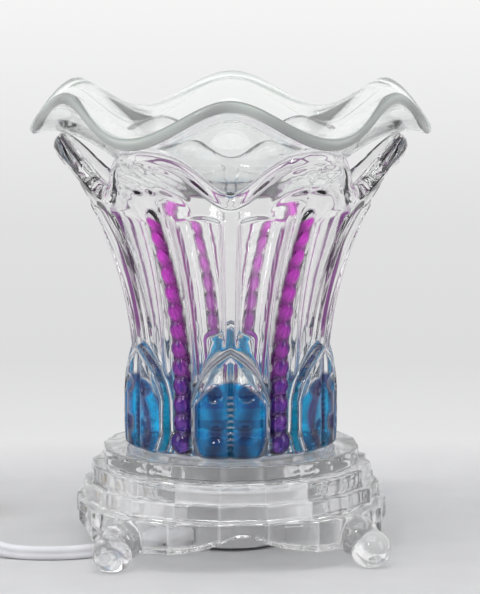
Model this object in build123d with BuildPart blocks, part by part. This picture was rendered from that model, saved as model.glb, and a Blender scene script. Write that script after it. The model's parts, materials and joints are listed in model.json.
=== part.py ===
# Electric wax melt warmer: a ruffled glass dish on a flared pressed-glass body and a stepped glass
# base, with a reflector lamp in a holder inside and a mains lead with a dimmer and a plug.
# Millimetres, +Z up, origin on the axis at table level, front of the object towards -Y.
import math
import os

from build123d import *

os.makedirs("parts", exist_ok=True)

# Clearances between pieces
seat_gap = 0.5
lamp_gap = 0.15
running_gap = 0.05
loose_gap = 0.1

# Ornament sectors round the body and waves round the dish
sectors = 6
sector_arcs = 2
arc_points = 8
slope_turn = 0.01

# Glass dish
dish_edge_radius = 66.5
dish_edge_scallop = 1.7
dish_edge_roll = 1.8
dish_flat_radius = 15.0
dish_depth = 27.0
dish_wave = 6.5
dish_glass = 4.5
dish_levels = 10
dish_edge_steps = 6

# Glass body: the flared wall, its rim and its floor
body_height = 111.5
body_foot_radius = 33.4
body_rim_radius = 62.5
body_flare_power = 2.8
body_wall = 6.0
body_floor = 5.5
body_foot_round = 1.6
rim_drop = 16.0
rim_roll = 5.0
rim_steps = 6
plain_height = 42.0
flare_levels = 10
inner_levels = 8

# Glass body: flutes over the wall, six pointed arches round its foot, and a column of beads each side of
# the front and back arches
flute_depth = 2.0
flute_fade = 14.0
flute_turn = 21.0
arch_half_share = 0.455
arch_spring = 20.0
arch_shoulder_share = 0.53
arch_shoulder_reach = 0.32
arch_height = 39.5
arch_relief = 4.7
arch_root = 4.0
bead_turns = (30, 150, 210, 330)
bead_count = 12
bead_share = 0.105
bead_proud_share = 0.078
bead_pitch = 6.65
first_bead_rise = 12.1
foot_bead_share = 0.132
foot_bead_proud_share = 0.108
foot_bead_rise = 5.1

# Glass base: three faceted rows over a squarish skirt on four knob feet, set in from the body's rim
base_facets = 20
base_turn = 5.0
row_height = 6.2
skirt_inset = 7.0
skirt_squareness = 2.4
skirt_height = 17.4
ledge_step = 2.0
middle_step = 3.0
ring_step = 4.5
skirt_lift = 5.0
skirt_gap_rise = 12.5
skirt_gap_reach = 13.0
skirt_gap_points = 24
foot_count = 4
foot_reach = 8.5
foot_ball_radius = 7.0
foot_ball_height = 6.0
ankle_inset = 5.5
ankle_radius = 7.2
ankle_height = 9.8
base_skirt_wall = 10.5
base_deck_wall = 17.5
base_deck = 9.0
base_hollow_step = 15.5

# Lamp housing clamped through the glass
housing_radius = 19.4
housing_wall = 1.8
flange_room = 2.4
housing_flange = 1.8
glass_hole_gap = 0.6
lamp_depth = 31.8
shelf_thickness = 1.5
shelf_hole_radius = 10.0
chamber_height = 8.3
seal_thickness = 0.5
seal_hole_inset = 2.0
seal_edge_inset = 1.4
gasket_thickness = 1.0
washer_overhang = 10.6
rubber_washer = 1.5
steel_washer = 1.2
ring_nut_wall = 7.6
ring_nut_height = 5.5
ring_nut_grips = 12
ring_nut_grip_radius = 2.5
cap_thickness = 1.9
cap_boss_radius = 2.8
cap_boss_inset = 3.4
cap_screw_depth = 5.0
cap_recess_depth = 1.2

# Screws shared by the cap and the lamp holder
screw_radius = 1.3
screw_head_radius = 2.4
screw_head = 1.2

# Bayonet lamp holder and its contacts
holder_radius = 14.0
holder_height = 9.0
holder_lid = 3.5
holder_screw_circle = 11.2
holder_screw_depth = 6.0
pin_circle = 5.0
pin_twist = 25.0
pin_twist_margin = 4.0
pin_head_room = 0.5
pin_slot_room = 0.2
contact_plate = 1.0
contact_drop = 3.4
contact_tab = 2.2

# Reflector lamp
pin_radius = 1.6
pin_head_radius = 2.4
pin_head = 2.6
pin_length = 6.5
lamp_base_radius = 9.8
lamp_base_flat = 7.6
lamp_base_height = 13.85
lamp_neck_radius = 10.2
lamp_waist_radius = 14.4
lamp_waist_share = 0.44
lamp_rim_radius = 17.5
lamp_bowl_height = 19.5
lamp_rim_height = 2.0
lamp_shell = 1.2
lamp_lens = 1.2
capsule_radius = 3.5
capsule_height = 11.0

# Strain relief and inner leads
lead_angle = 210.5
lead_tilt = 8.0
lead_height = 9.58
relief_collar = 2.3
relief_collar_inset = 0.8
relief_inner_radius = 3.8
relief_neck_radius = 2.9
relief_outer_radius = 4.5
relief_tail = 19.6
relief_tip_radius = 3.1
wire_radius = 0.8
wire_spread = 1.25
wire_gap = 0.4
wire_dip = 1.3

# Mains lead: route points lie on its centre line
cord_diameter = 5.0
cord_pitch = 5.5
bend_share = 0.45
first_run = 10.5
floor_route = [
    (-54.0, -31.2, 2.5),
    (-67.0, -32.6, 2.5),
    (-79.5, -29.4, 2.5),
    (-91.0, -26.2, 6.5),
]
dimmer_approach = 11.0
dimmer_heading = 176.0
coil_outer_radius = 31.75
coil_layers = 4
coil_lift = 1.0
coil_lead_runs = (11.0, 13.0, 11.0)
plug_lead_runs = (13.0, 26.0, 13.0)
tie_band = 0.8
tie_width = 5.0
tie_slack = 0.6
tie_corner = 2.0

# Dimmer on the lead
dimmer_length = 42.0
dimmer_width = 24.0
dimmer_height = 13.0
dimmer_corner = 6.0
dimmer_wall = 2.0
dimmer_edge_fillet = 1.5
sleeve_length = 7.0
sleeve_radius = 4.2
sleeve_tip_radius = 3.0
wheel_radius = 11.5
wheel_offset = 4.0
wheel_thickness = 4.0
wheel_slot_gap = 0.4
wheel_grooves = 24
wheel_groove_radius = 0.7
wheel_mark_radius = 1.0
wheel_mark_depth = 0.6
axle_radius = 2.2
board_length = 25.0
board_width = 16.0
board_thickness = 1.6
board_hole_gap = 1.0
dimmer_screw_spacing = 31.0
dimmer_boss_radius = 2.6
dimmer_screw_radius = 1.0
dimmer_screw_head_radius = 1.8
dimmer_screw_head = 1.0
dimmer_screw_grip = 3.5

# Plug with two flat blades
plug_tail = 10.0
plug_tail_radius = 5.5
plug_length = 20.0
plug_width = 24.0
plug_height = 16.0
plug_fillet = 4.0
blade_length = 16.0
blade_width = 6.3
blade_thickness = 1.5
blade_spacing = 12.7
blade_hole_radius = 1.6
blade_hole_from_tip = 4.5

# Sizes and heights that follow from the sizes above
arch_half_width = body_foot_radius * arch_half_share
arch_shoulder_width = body_foot_radius * arch_shoulder_reach
bead_radius = body_foot_radius * bead_share
bead_proud = body_foot_radius * bead_proud_share
foot_bead_radius = body_foot_radius * foot_bead_share
foot_bead_proud = body_foot_radius * foot_bead_proud_share
skirt_half_width = body_rim_radius - skirt_inset
ledge_radius = skirt_half_width - ledge_step
middle_radius = ledge_radius - middle_step
ring_radius = middle_radius - ring_step
foot_circle_radius = skirt_half_width + foot_reach
base_hollow_radius = skirt_half_width - base_skirt_wall
base_deck_radius = skirt_half_width - base_deck_wall
gap_half_span = skirt_half_width + 2 * foot_ball_radius
glass_hole_radius = housing_radius + glass_hole_gap
housing_bore = housing_radius - housing_wall
housing_flange_radius = body_foot_radius - body_wall - flange_room
seal_inner_radius = glass_hole_radius + seal_hole_inset
seal_outer_radius = body_foot_radius - seal_edge_inset
washer_radius = housing_radius + washer_overhang
ring_nut_radius = housing_radius + ring_nut_wall
cap_boss_circle = housing_bore - cap_boss_inset
relief_inner_end = housing_bore - relief_collar_inset
relief_inner_start = relief_inner_end - relief_collar
relief_tip = housing_radius + relief_tail
base_height = skirt_height + 3 * row_height
body_foot = base_height + seal_thickness
rim_top = body_foot + body_height
rim_edge = rim_top - rim_roll
floor_top = body_foot + body_floor
flange_seat = floor_top + gasket_thickness
flange_top = flange_seat + housing_flange
shelf_top = flange_top - lamp_depth
shelf_under = shelf_top - shelf_thickness
housing_bottom = shelf_under - chamber_height
deck_under = base_height - base_deck
holder_top = shelf_top + holder_height
holder_lid_under = holder_top - holder_lid
lamp_foot = holder_top + lamp_gap
lamp_base_top = lamp_foot + lamp_base_height
lamp_rim_low = lamp_base_top + lamp_bowl_height
lamp_rim_top = lamp_rim_low + lamp_rim_height
pin_foot = lamp_foot - pin_length
contact_top = pin_foot - lamp_gap
cord_radius = cord_diameter / 2


def smooth_step(value, low, high):
    """0 below low, 1 above high, with an even slope at both ends."""
    share = min(max((value - low) / (high - low), 0.0), 1.0)
    return share * share * (3 - 2 * share)


def wave(turn):
    """1 over the arch centres, -1 over the bead columns; turn is the angle from the front."""
    return math.cos(math.radians(sectors * turn))


def loop_point(radius_and_height, turn):
    radius, height = radius_and_height(turn)
    angle = math.radians(turn - 90)
    return Vector(radius * math.cos(angle), radius * math.sin(angle), height)


def closed_loop(radius_and_height):
    """Closed curve round the axis, in equal arcs, from a function of the angle from the front."""
    arc_count = sectors * sector_arcs
    arc_turn = 360 / arc_count
    arcs = []
    for arc in range(arc_count):
        turns = [arc_turn * (arc + step / arc_points) for step in range(arc_points + 1)]
        points = [loop_point(radius_and_height, turn) for turn in turns]
        slopes = [
            loop_point(radius_and_height, turn + slope_turn)
            - loop_point(radius_and_height, turn - slope_turn)
            for turn in (turns[0], turns[-1])
        ]
        arcs.append(Edge.make_spline(points, tangents=slopes))
    return Wire(arcs)


def ring(name, inner_radius, outer_radius, low, high):
    """Flat ring on the axis between two heights."""
    with BuildPart() as made:
        with BuildSketch(Plane.XY.offset(low)):
            Circle(outer_radius)
            Circle(inner_radius, mode=Mode.SUBTRACT)
        extrude(amount=high - low)
    made.part.label = name
    return made


# Glass body
def flare_radius(height):
    share = (height - body_foot) / (rim_edge - body_foot)
    return body_foot_radius + (body_rim_radius - body_foot_radius) * share**body_flare_power


def rim_height(turn):
    """Height of the rim's outer edge: peaks over the bead columns, valleys over the arches."""
    return rim_edge - rim_drop * (1 + wave(turn)) / 2


def flute_relief(turn, height):
    above_arch = smooth_step(height, body_foot + plain_height, body_foot + plain_height + flute_fade)
    below_rim = 1 - smooth_step(height, rim_edge - rim_drop - flute_fade, rim_edge - rim_drop)
    from_rib = math.degrees(math.acos(wave(turn))) / sectors
    hollow = math.sin(math.pi * min(from_rib / flute_turn, 1.0)) ** 2
    return flute_depth * hollow * above_arch * below_rim


def plain_loop(rise, inset):
    def place(turn):
        return flare_radius(body_foot + rise) - inset, body_foot + rise

    return closed_loop(place)


def flared_loop(share):
    def place(turn):
        height = body_foot + plain_height + share * (rim_height(turn) - body_foot - plain_height)
        return flare_radius(height) - flute_relief(turn, height), height

    return closed_loop(place)


def rim_loop(share):
    def place(turn):
        roll = math.pi * share
        edge = rim_height(turn)
        return flare_radius(edge) - body_wall * (1 - math.cos(roll)) / 2, edge + rim_roll * math.sin(roll)

    return closed_loop(place)


def inner_wall_loop(share):
    def place(turn):
        height = floor_top + share * (rim_height(turn) - floor_top)
        return flare_radius(height) - body_wall, height

    return closed_loop(place)


body_loops = [plain_loop(0.0, body_foot_round), plain_loop(body_foot_round, 0.0)]
body_loops += [plain_loop(arch_spring, 0.0)]
body_loops += [flared_loop(level / flare_levels) for level in range(flare_levels)]
body_loops += [rim_loop(step / rim_steps) for step in range(rim_steps)]
body_loops += [inner_wall_loop(1 - level / inner_levels) for level in range(inner_levels + 1)]

# One pointed arch, standing on the body's foot at the front, with a face curved round the axis
arch_shoulder = body_foot + arch_spring + arch_shoulder_share * (arch_height - arch_spring)
with BuildPart() as front_arch:
    with BuildSketch(Plane.XZ.offset(body_foot_radius - arch_root)):
        with BuildLine():
            side_line = Polyline(
                (0, body_foot),
                (arch_half_width, body_foot),
                (arch_half_width, body_foot + arch_spring),
            )
            ThreePointArc(
                side_line @ 1,
                (arch_shoulder_width, arch_shoulder),
                (0, body_foot + arch_height),
            )
            Line((0, body_foot + arch_height), (0, body_foot))
        make_face()
        mirror(about=Plane.YZ)
    extrude(amount=arch_root + 2 * arch_relief)
    with BuildSketch(Plane.XY):
        Circle(body_foot_radius + arch_relief)
    extrude(amount=rim_top, mode=Mode.INTERSECT)

# One column of beads at the front, with a larger bead at its foot
def bead_place(rise, proud, radius):
    height = body_foot + rise
    return 0, radius - proud - flare_radius(height), height


with BuildPart() as bead_column:
    with Locations(bead_place(foot_bead_rise, foot_bead_proud, foot_bead_radius)):
        Sphere(foot_bead_radius)
    for bead in range(bead_count):
        with Locations(bead_place(first_bead_rise + bead * bead_pitch, bead_proud, bead_radius)):
            Sphere(bead_radius)

with BuildPart() as glass_body:
    add(Solid.make_loft(body_loops, ruled=True))
    for sector in range(sectors):
        add(front_arch.part.rotate(Axis.Z, 360 * sector / sectors))
    for bead_turn in bead_turns:
        add(bead_column.part.rotate(Axis.Z, bead_turn))
    with BuildSketch(Plane.XY.offset(body_foot)):
        Circle(glass_hole_radius)
    extrude(amount=body_floor, mode=Mode.SUBTRACT)
glass_body.part.label = "glass_body"
export_step(glass_body.part, "parts/glass_body.step")


# Glass dish, resting on the rim's peaks
def dish_edge(turn):
    return dish_edge_radius - dish_edge_scallop * wave(turn)


def dish_rise(share, turn):
    """Height of the dish's upper face over its floor, from the flat (0) to the edge (1)."""
    return dish_depth * (1 - math.cos(math.pi * share)) / 2 + dish_wave * share**3 * wave(turn)


peak_turn = 180 / sectors
seat_radius = body_rim_radius - body_wall / 2
seat_share = (seat_radius - dish_flat_radius) / (dish_edge(peak_turn) - dish_flat_radius)
dish_floor = rim_top + seat_gap + dish_glass - dish_rise(seat_share, peak_turn)


def dish_loop(share, drop):
    def place(turn):
        radius = dish_flat_radius + share * (dish_edge(turn) - dish_flat_radius)
        return radius, dish_floor + dish_rise(share, turn) - drop

    return closed_loop(place)


def dish_edge_loop(share):
    def place(turn):
        roll = math.pi * share
        middle = dish_floor + dish_rise(1.0, turn) - dish_glass / 2
        return dish_edge(turn) + dish_edge_roll * math.sin(roll), middle - dish_glass / 2 * math.cos(roll)

    return closed_loop(place)


dish_loops = [dish_loop(level / dish_levels, dish_glass) for level in range(dish_levels)]
dish_loops += [dish_edge_loop(step / dish_edge_steps) for step in range(dish_edge_steps)]
dish_loops += [dish_loop(1 - level / dish_levels, 0.0) for level in range(dish_levels + 1)]

with BuildPart() as melt_dish:
    add(Solid.make_loft(dish_loops, ruled=True))
melt_dish.part.label = "melt_dish"
export_step(melt_dish.part, "parts/melt_dish.step")


# Glass base
def skirt_corner(index):
    """Corner of the faceted skirt, on a squarish round outline."""
    angle = math.radians(360 * (index + 1 / 2) / base_facets)
    spread = abs(math.cos(angle)) ** skirt_squareness + abs(math.sin(angle)) ** skirt_squareness
    radius = skirt_half_width / spread ** (1 / skirt_squareness)
    return radius * math.cos(angle), radius * math.sin(angle)


def skirt_edge(aside):
    """Lower edge of the skirt: a bell-shaped rise in the middle of each side."""
    return aside, skirt_lift + (skirt_gap_rise - skirt_lift) / (1 + (aside / skirt_gap_reach) ** 2)


base_plane = Plane.XY.rotated((0, 0, base_turn))
base_rows = [(ledge_radius, 1), (middle_radius, 2), (ring_radius, 3)]
gap_shares = [2 * index / skirt_gap_points - 1 for index in range(skirt_gap_points + 1)]
gap_edge = [skirt_edge(share * gap_half_span) for share in gap_shares]

with BuildPart() as glass_base:
    with BuildSketch(base_plane):
        Polygon(*[skirt_corner(index) for index in range(base_facets)], align=None)
    extrude(amount=skirt_height)
    for row_radius, row_count in base_rows:
        with BuildSketch(base_plane):
            RegularPolygon(row_radius, base_facets, rotation=180 / base_facets)
        extrude(amount=skirt_height + row_count * row_height)
    with BuildSketch(base_plane):
        Circle(base_hollow_radius)
    extrude(amount=base_hollow_step, mode=Mode.SUBTRACT)
    with BuildSketch(base_plane):
        Circle(base_deck_radius)
    extrude(amount=deck_under, mode=Mode.SUBTRACT)
    for side_turn in (base_turn, base_turn + 90):
        with BuildSketch(Plane.XZ.rotated((0, 0, side_turn))):
            with BuildLine():
                Spline(*gap_edge)
                Polyline(
                    gap_edge[-1],
                    (gap_half_span, -skirt_lift),
                    (-gap_half_span, -skirt_lift),
                    gap_edge[0],
                )
            make_face()
        extrude(amount=2 * skirt_half_width, both=True, mode=Mode.SUBTRACT)
    for ball_circle, ball_radius, ball_height in (
        (foot_circle_radius - ankle_inset, ankle_radius, ankle_height),
        (foot_circle_radius, foot_ball_radius, foot_ball_height),
    ):
        with Locations((0, 0, ball_height)):
            with PolarLocations(ball_circle, foot_count, start_angle=base_turn + 180 / foot_count):
                Sphere(ball_radius)
    with BuildSketch(base_plane):
        Circle(glass_hole_radius)
    extrude(amount=base_height, mode=Mode.SUBTRACT)
    split(bisect_by=Plane.XY, keep=Keep.TOP)
glass_base.part.label = "glass_base"
export_step(glass_base.part, "parts/glass_base.step")

# Seal between the two glasses and gasket under the housing's flange
body_seal = ring("body_seal", seal_inner_radius, seal_outer_radius, base_height, body_foot)
export_step(body_seal.part, "parts/body_seal.step")
flange_gasket = ring("flange_gasket", glass_hole_radius, housing_flange_radius, floor_top, flange_seat)
export_step(flange_gasket.part, "parts/flange_gasket.step")

# Clamp under the base's deck: rubber washer, steel washer and ring nut
barrel_bore = housing_radius + loose_gap
rubber_under = deck_under - rubber_washer
steel_under = rubber_under - steel_washer
deck_washer = ring("deck_washer", barrel_bore, washer_radius, rubber_under, deck_under)
export_step(deck_washer.part, "parts/deck_washer.step")
clamp_washer = ring("clamp_washer", barrel_bore, washer_radius, steel_under, rubber_under)
export_step(clamp_washer.part, "parts/clamp_washer.step")

with BuildPart() as ring_nut:
    with BuildSketch(Plane.XY.offset(steel_under - ring_nut_height)):
        Circle(ring_nut_radius)
        Circle(barrel_bore, mode=Mode.SUBTRACT)
        with PolarLocations(ring_nut_radius + ring_nut_grip_radius / 2, ring_nut_grips):
            Circle(ring_nut_grip_radius, mode=Mode.SUBTRACT)
    extrude(amount=ring_nut_height)
ring_nut.part.label = "ring_nut"
export_step(ring_nut.part, "parts/ring_nut.step")

# Lead axis out of the housing: local Z runs outwards and a little down
heading = math.radians(lead_angle)
dip = math.radians(lead_tilt)
lead_axis = Vector(
    math.cos(heading) * math.cos(dip), math.sin(heading) * math.cos(dip), -math.sin(dip)
)
lead_side = Vector(-math.sin(heading), math.cos(heading), 0)
lead_plane = Plane(origin=(0, 0, lead_height), x_dir=lead_side, z_dir=lead_axis)

# Lamp housing: flanged barrel with a shelf for the holder and bosses for the cap
with BuildPart() as lamp_housing:
    with BuildSketch(Plane.XY.offset(housing_bottom)):
        Circle(housing_radius)
    extrude(amount=flange_top - housing_bottom)
    with BuildSketch(Plane.XY.offset(flange_seat)):
        Circle(housing_flange_radius)
    extrude(amount=housing_flange)
    with BuildSketch(Plane.XY.offset(shelf_top)):
        Circle(housing_bore)
    extrude(amount=flange_top - shelf_top, mode=Mode.SUBTRACT)
    with BuildSketch(Plane.XY.offset(housing_bottom)):
        Circle(housing_bore)
    extrude(amount=chamber_height, mode=Mode.SUBTRACT)
    with BuildSketch(Plane.XY.offset(shelf_under)):
        Circle(shelf_hole_radius)
        with PolarLocations(holder_screw_circle, 2):
            Circle(screw_radius + loose_gap)
    extrude(amount=shelf_thickness, mode=Mode.SUBTRACT)
    with BuildSketch(Plane.XY.offset(housing_bottom)):
        with PolarLocations(cap_boss_circle, 2, start_angle=lead_angle + 90):
            Circle(cap_boss_radius)
            Circle(screw_radius + loose_gap, mode=Mode.SUBTRACT)
    extrude(amount=chamber_height)
    with BuildSketch(lead_plane.offset(relief_inner_end)):
        Circle(relief_neck_radius + loose_gap)
    extrude(amount=housing_radius - relief_inner_end + relief_neck_radius, mode=Mode.SUBTRACT)
lamp_housing.part.label = "lamp_housing"
export_step(lamp_housing.part, "parts/lamp_housing.step")


def screw_pair(name, circle, start_angle, head_low, head_high, shank_low, shank_high):
    """Two pan-head screws on a circle round the axis, each a head and a shank."""
    with BuildPart() as made:
        for radius, low, high in (
            (screw_head_radius, head_low, head_high),
            (screw_radius, shank_low, shank_high),
        ):
            with BuildSketch(Plane.XY.offset(low)):
                with PolarLocations(circle, 2, start_angle=start_angle):
                    Circle(radius)
            extrude(amount=high - low)
    made.part.label = name
    return made


# Cap under the housing and its screws
cap_under = housing_bottom - cap_thickness
cap_seat = cap_under + cap_recess_depth
with BuildPart() as housing_cap:
    with BuildSketch(Plane.XY.offset(cap_under)):
        Circle(housing_radius)
        with PolarLocations(cap_boss_circle, 2, start_angle=lead_angle + 90):
            Circle(screw_radius + loose_gap, mode=Mode.SUBTRACT)
    extrude(amount=cap_thickness)
    with BuildSketch(Plane.XY.offset(cap_under)):
        with PolarLocations(cap_boss_circle, 2, start_angle=lead_angle + 90):
            Circle(screw_head_radius + loose_gap)
    extrude(amount=cap_recess_depth, mode=Mode.SUBTRACT)
housing_cap.part.label = "housing_cap"
export_step(housing_cap.part, "parts/housing_cap.step")

cap_screws = screw_pair(
    "cap_screws",
    cap_boss_circle,
    lead_angle + 90,
    cap_seat - screw_head,
    cap_seat,
    cap_seat,
    housing_bottom + cap_screw_depth,
)
export_step(cap_screws.part, "parts/cap_screws.step")


# Bayonet holder: two curved slots with a round entry at one end, over a wider space for the pin heads
def pin_arc(start_angle):
    return CenterArc(
        (0, 0), pin_circle, start_angle - pin_twist_margin, pin_twist + 2 * pin_twist_margin
    )


with BuildPart() as lamp_holder:
    with BuildSketch(Plane.XY.offset(shelf_top)):
        Circle(holder_radius)
    extrude(amount=holder_height)
    for pin_angle in (0, 180):
        with BuildLine():
            slot_line = pin_arc(pin_angle)
        with BuildSketch(Plane.XY.offset(shelf_top)):
            SlotArc(slot_line, 2 * (pin_head_radius + pin_head_room))
        extrude(amount=holder_height - holder_lid, mode=Mode.SUBTRACT)
        with BuildSketch(Plane.XY.offset(holder_lid_under)):
            SlotArc(slot_line, 2 * (pin_radius + pin_slot_room))
            with PolarLocations(pin_circle, 1, start_angle=pin_angle + pin_twist):
                Circle(pin_head_radius + loose_gap)
        extrude(amount=holder_lid, mode=Mode.SUBTRACT)
    with BuildSketch(Plane.XY.offset(shelf_top)):
        with PolarLocations(holder_screw_circle, 2):
            Circle(screw_radius + loose_gap)
    extrude(amount=holder_screw_depth + loose_gap, mode=Mode.SUBTRACT)
lamp_holder.part.label = "lamp_holder"
export_step(lamp_holder.part, "parts/lamp_holder.step")

holder_screws = screw_pair(
    "holder_screws",
    holder_screw_circle,
    0,
    shelf_under - screw_head,
    shelf_under,
    shelf_under,
    shelf_top + holder_screw_depth,
)
export_step(holder_screws.part, "parts/holder_screws.step")

contact_under = contact_top - contact_plate
tab_under = contact_under - contact_drop
with BuildPart() as lamp_contacts:
    for pin_angle in (0, 180):
        with BuildLine():
            contact_line = pin_arc(pin_angle)
        with BuildSketch(Plane.XY.offset(contact_under)):
            SlotArc(contact_line, 2 * pin_head_radius)
        extrude(amount=contact_plate)
    with BuildSketch(Plane.XY.offset(tab_under)):
        with PolarLocations(pin_circle, 2):
            Rectangle(contact_tab, contact_tab)
    extrude(amount=contact_drop)
lamp_contacts.part.label = "lamp_contacts"
export_step(lamp_contacts.part, "parts/lamp_contacts.step")

# Reflector lamp: pins, ceramic base, capsule, reflector and front lens
with BuildPart() as lamp_pins:
    for radius, low, high in (
        (pin_head_radius, pin_foot, pin_foot + pin_head),
        (pin_radius, pin_foot + pin_head, lamp_foot),
    ):
        with BuildSketch(Plane.XY.offset(low)):
            with PolarLocations(pin_circle, 2):
                Circle(radius)
        extrude(amount=high - low)
lamp_pins.part.label = "lamp_pins"
export_step(lamp_pins.part, "parts/lamp_pins.step")

with BuildPart() as lamp_base:
    with BuildSketch(Plane.XY.offset(lamp_foot)):
        Circle(lamp_base_radius)
        Rectangle(2 * lamp_base_radius, 2 * lamp_base_flat, mode=Mode.INTERSECT)
    extrude(amount=lamp_base_height)
lamp_base.part.label = "lamp_base"
export_step(lamp_base.part, "parts/lamp_base.step")

with BuildPart() as lamp_capsule:
    with BuildSketch(Plane.XY.offset(lamp_base_top)):
        Circle(capsule_radius)
    extrude(amount=capsule_height - capsule_radius)
    with Locations((0, 0, lamp_base_top + capsule_height - capsule_radius)):
        Sphere(capsule_radius)
lamp_capsule.part.label = "lamp_capsule"
export_step(lamp_capsule.part, "parts/lamp_capsule.step")

lamp_waist = lamp_base_top + lamp_waist_share * lamp_bowl_height
with BuildPart() as lamp_reflector:
    with BuildSketch(Plane.XZ):
        with BuildLine():
            outer_bowl = ThreePointArc(
                (lamp_neck_radius, lamp_base_top),
                (lamp_waist_radius, lamp_waist),
                (lamp_rim_radius, lamp_rim_low),
            )
            Polyline(
                outer_bowl @ 1,
                (lamp_rim_radius, lamp_rim_top),
                (lamp_rim_radius - lamp_shell, lamp_rim_top),
                (lamp_rim_radius - lamp_shell, lamp_rim_low),
            )
            inner_bowl = ThreePointArc(
                (lamp_rim_radius - lamp_shell, lamp_rim_low),
                (lamp_waist_radius - lamp_shell, lamp_waist + lamp_shell / 2),
                (lamp_neck_radius - lamp_shell, lamp_base_top),
            )
            Line(inner_bowl @ 1, outer_bowl @ 0)
        make_face()
    revolve(axis=Axis.Z)
lamp_reflector.part.label = "lamp_reflector"
export_step(lamp_reflector.part, "parts/lamp_reflector.step")

with BuildPart() as lamp_lens_glass:
    with BuildSketch(Plane.XY.offset(lamp_rim_top)):
        Circle(lamp_rim_radius)
    extrude(amount=lamp_lens)
    fillet(lamp_lens_glass.edges().group_by(Axis.Z)[-1], lamp_lens / 3)
lamp_lens_glass.part.label = "lamp_lens"
export_step(lamp_lens_glass.part, "parts/lamp_lens.step")

# Strain relief: a grooved bush in the housing's wall with a tapered tail
relief_face = (housing_radius + loose_gap + relief_outer_radius * math.sin(dip)) / math.cos(dip)
with BuildPart() as strain_relief:
    with BuildSketch(lead_plane.offset(relief_inner_start)):
        Circle(relief_inner_radius)
    extrude(amount=relief_inner_end - relief_inner_start)
    with BuildSketch(lead_plane.offset(relief_inner_end)):
        Circle(relief_neck_radius)
    extrude(amount=relief_face - relief_inner_end)
    with BuildSketch(lead_plane.offset(relief_face)):
        Circle(relief_outer_radius)
    with BuildSketch(lead_plane.offset(relief_tip)):
        Circle(relief_tip_radius)
    loft()
strain_relief.part.label = "strain_relief"
export_step(strain_relief.part, "parts/strain_relief.step")

# Two inner leads from the strain relief to the contacts
wire_foot = tab_under - wire_dip
with BuildPart() as inner_leads:
    for side in (1, -1):
        wire_start = lead_plane.from_local_coords((side * wire_spread, 0, relief_inner_start - wire_gap))
        tab = Vector(side * pin_circle, 0, tab_under)
        with BuildLine() as wire:
            FilletPolyline(wire_start, (tab.X, tab.Y, wire_foot), tab, radius=wire_dip / 2)
        with BuildSketch(Plane(origin=wire.line @ 0, z_dir=wire.line % 0)):
            Circle(wire_radius)
        sweep(path=wire.line)
inner_leads.part.label = "inner_leads"
export_step(inner_leads.part, "parts/inner_leads.step")


# Mains lead: straight runs joined by arcs as large as the runs allow
def lead_tube(name, points):
    """Round tube along a route; prints the bend radii and compares volume with section times length."""
    route = [Vector(point) for point in points]
    radii = []
    for before, corner, after in zip(route, route[1:], route[2:]):
        turn = math.radians((corner - before).get_angle(after - corner))
        shorter = min((corner - before).length, (after - corner).length)
        radii.append(bend_share * shorter / math.tan(turn / 2))
    with BuildPart() as made:
        with BuildLine() as path:
            FilletPolyline(*route, radius=radii)
        with BuildSketch(Plane(origin=path.line @ 0, z_dir=path.line % 0)):
            Circle(cord_radius)
        sweep(path=path.line)
    length = path.wires()[0].length
    share = made.part.volume / (math.pi * cord_radius**2 * length)
    print(name, "length", round(length, 1), "radii", [round(radius, 1) for radius in radii])
    print(name, "volume over section times length", round(share, 4))
    made.part.label = name
    return made


relief_end = lead_plane.from_local_coords((0, 0, relief_tip))
run_start = lead_plane.from_local_coords((0, 0, relief_tip + first_run))
lead_heading = Vector(math.cos(math.radians(dimmer_heading)), math.sin(math.radians(dimmer_heading)), 0)
sleeve_start = Vector(floor_route[-1]) + lead_heading * dimmer_approach
cord_run = lead_tube("cord_run", [relief_end, run_start, *floor_route, sleeve_start])
export_step(cord_run.part, "parts/cord_run.step")

# Dimmer, laid in line with the lead: local X runs along the lead
dimmer_middle = sleeve_start + lead_heading * (sleeve_length + dimmer_length / 2)
dimmer_axis_height = sleeve_start.Z
dimmer_plane = Plane(origin=(dimmer_middle.X, dimmer_middle.Y, 0), x_dir=lead_heading, z_dir=(0, 0, 1))
dimmer_split = dimmer_height / 2
wheel_low = dimmer_split - wheel_thickness / 2
wheel_slot_low = wheel_low - wheel_slot_gap
wheel_slot_high = wheel_low + wheel_thickness + wheel_slot_gap
inner_length = dimmer_length - 2 * dimmer_wall
inner_width = dimmer_width - 2 * dimmer_wall
wheel_slot_length = 2 * (wheel_radius - wheel_slot_gap)
dimmer_ceiling = dimmer_height - dimmer_wall
screw_seat = dimmer_screw_head + loose_gap
screw_end = dimmer_split + dimmer_screw_grip


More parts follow.
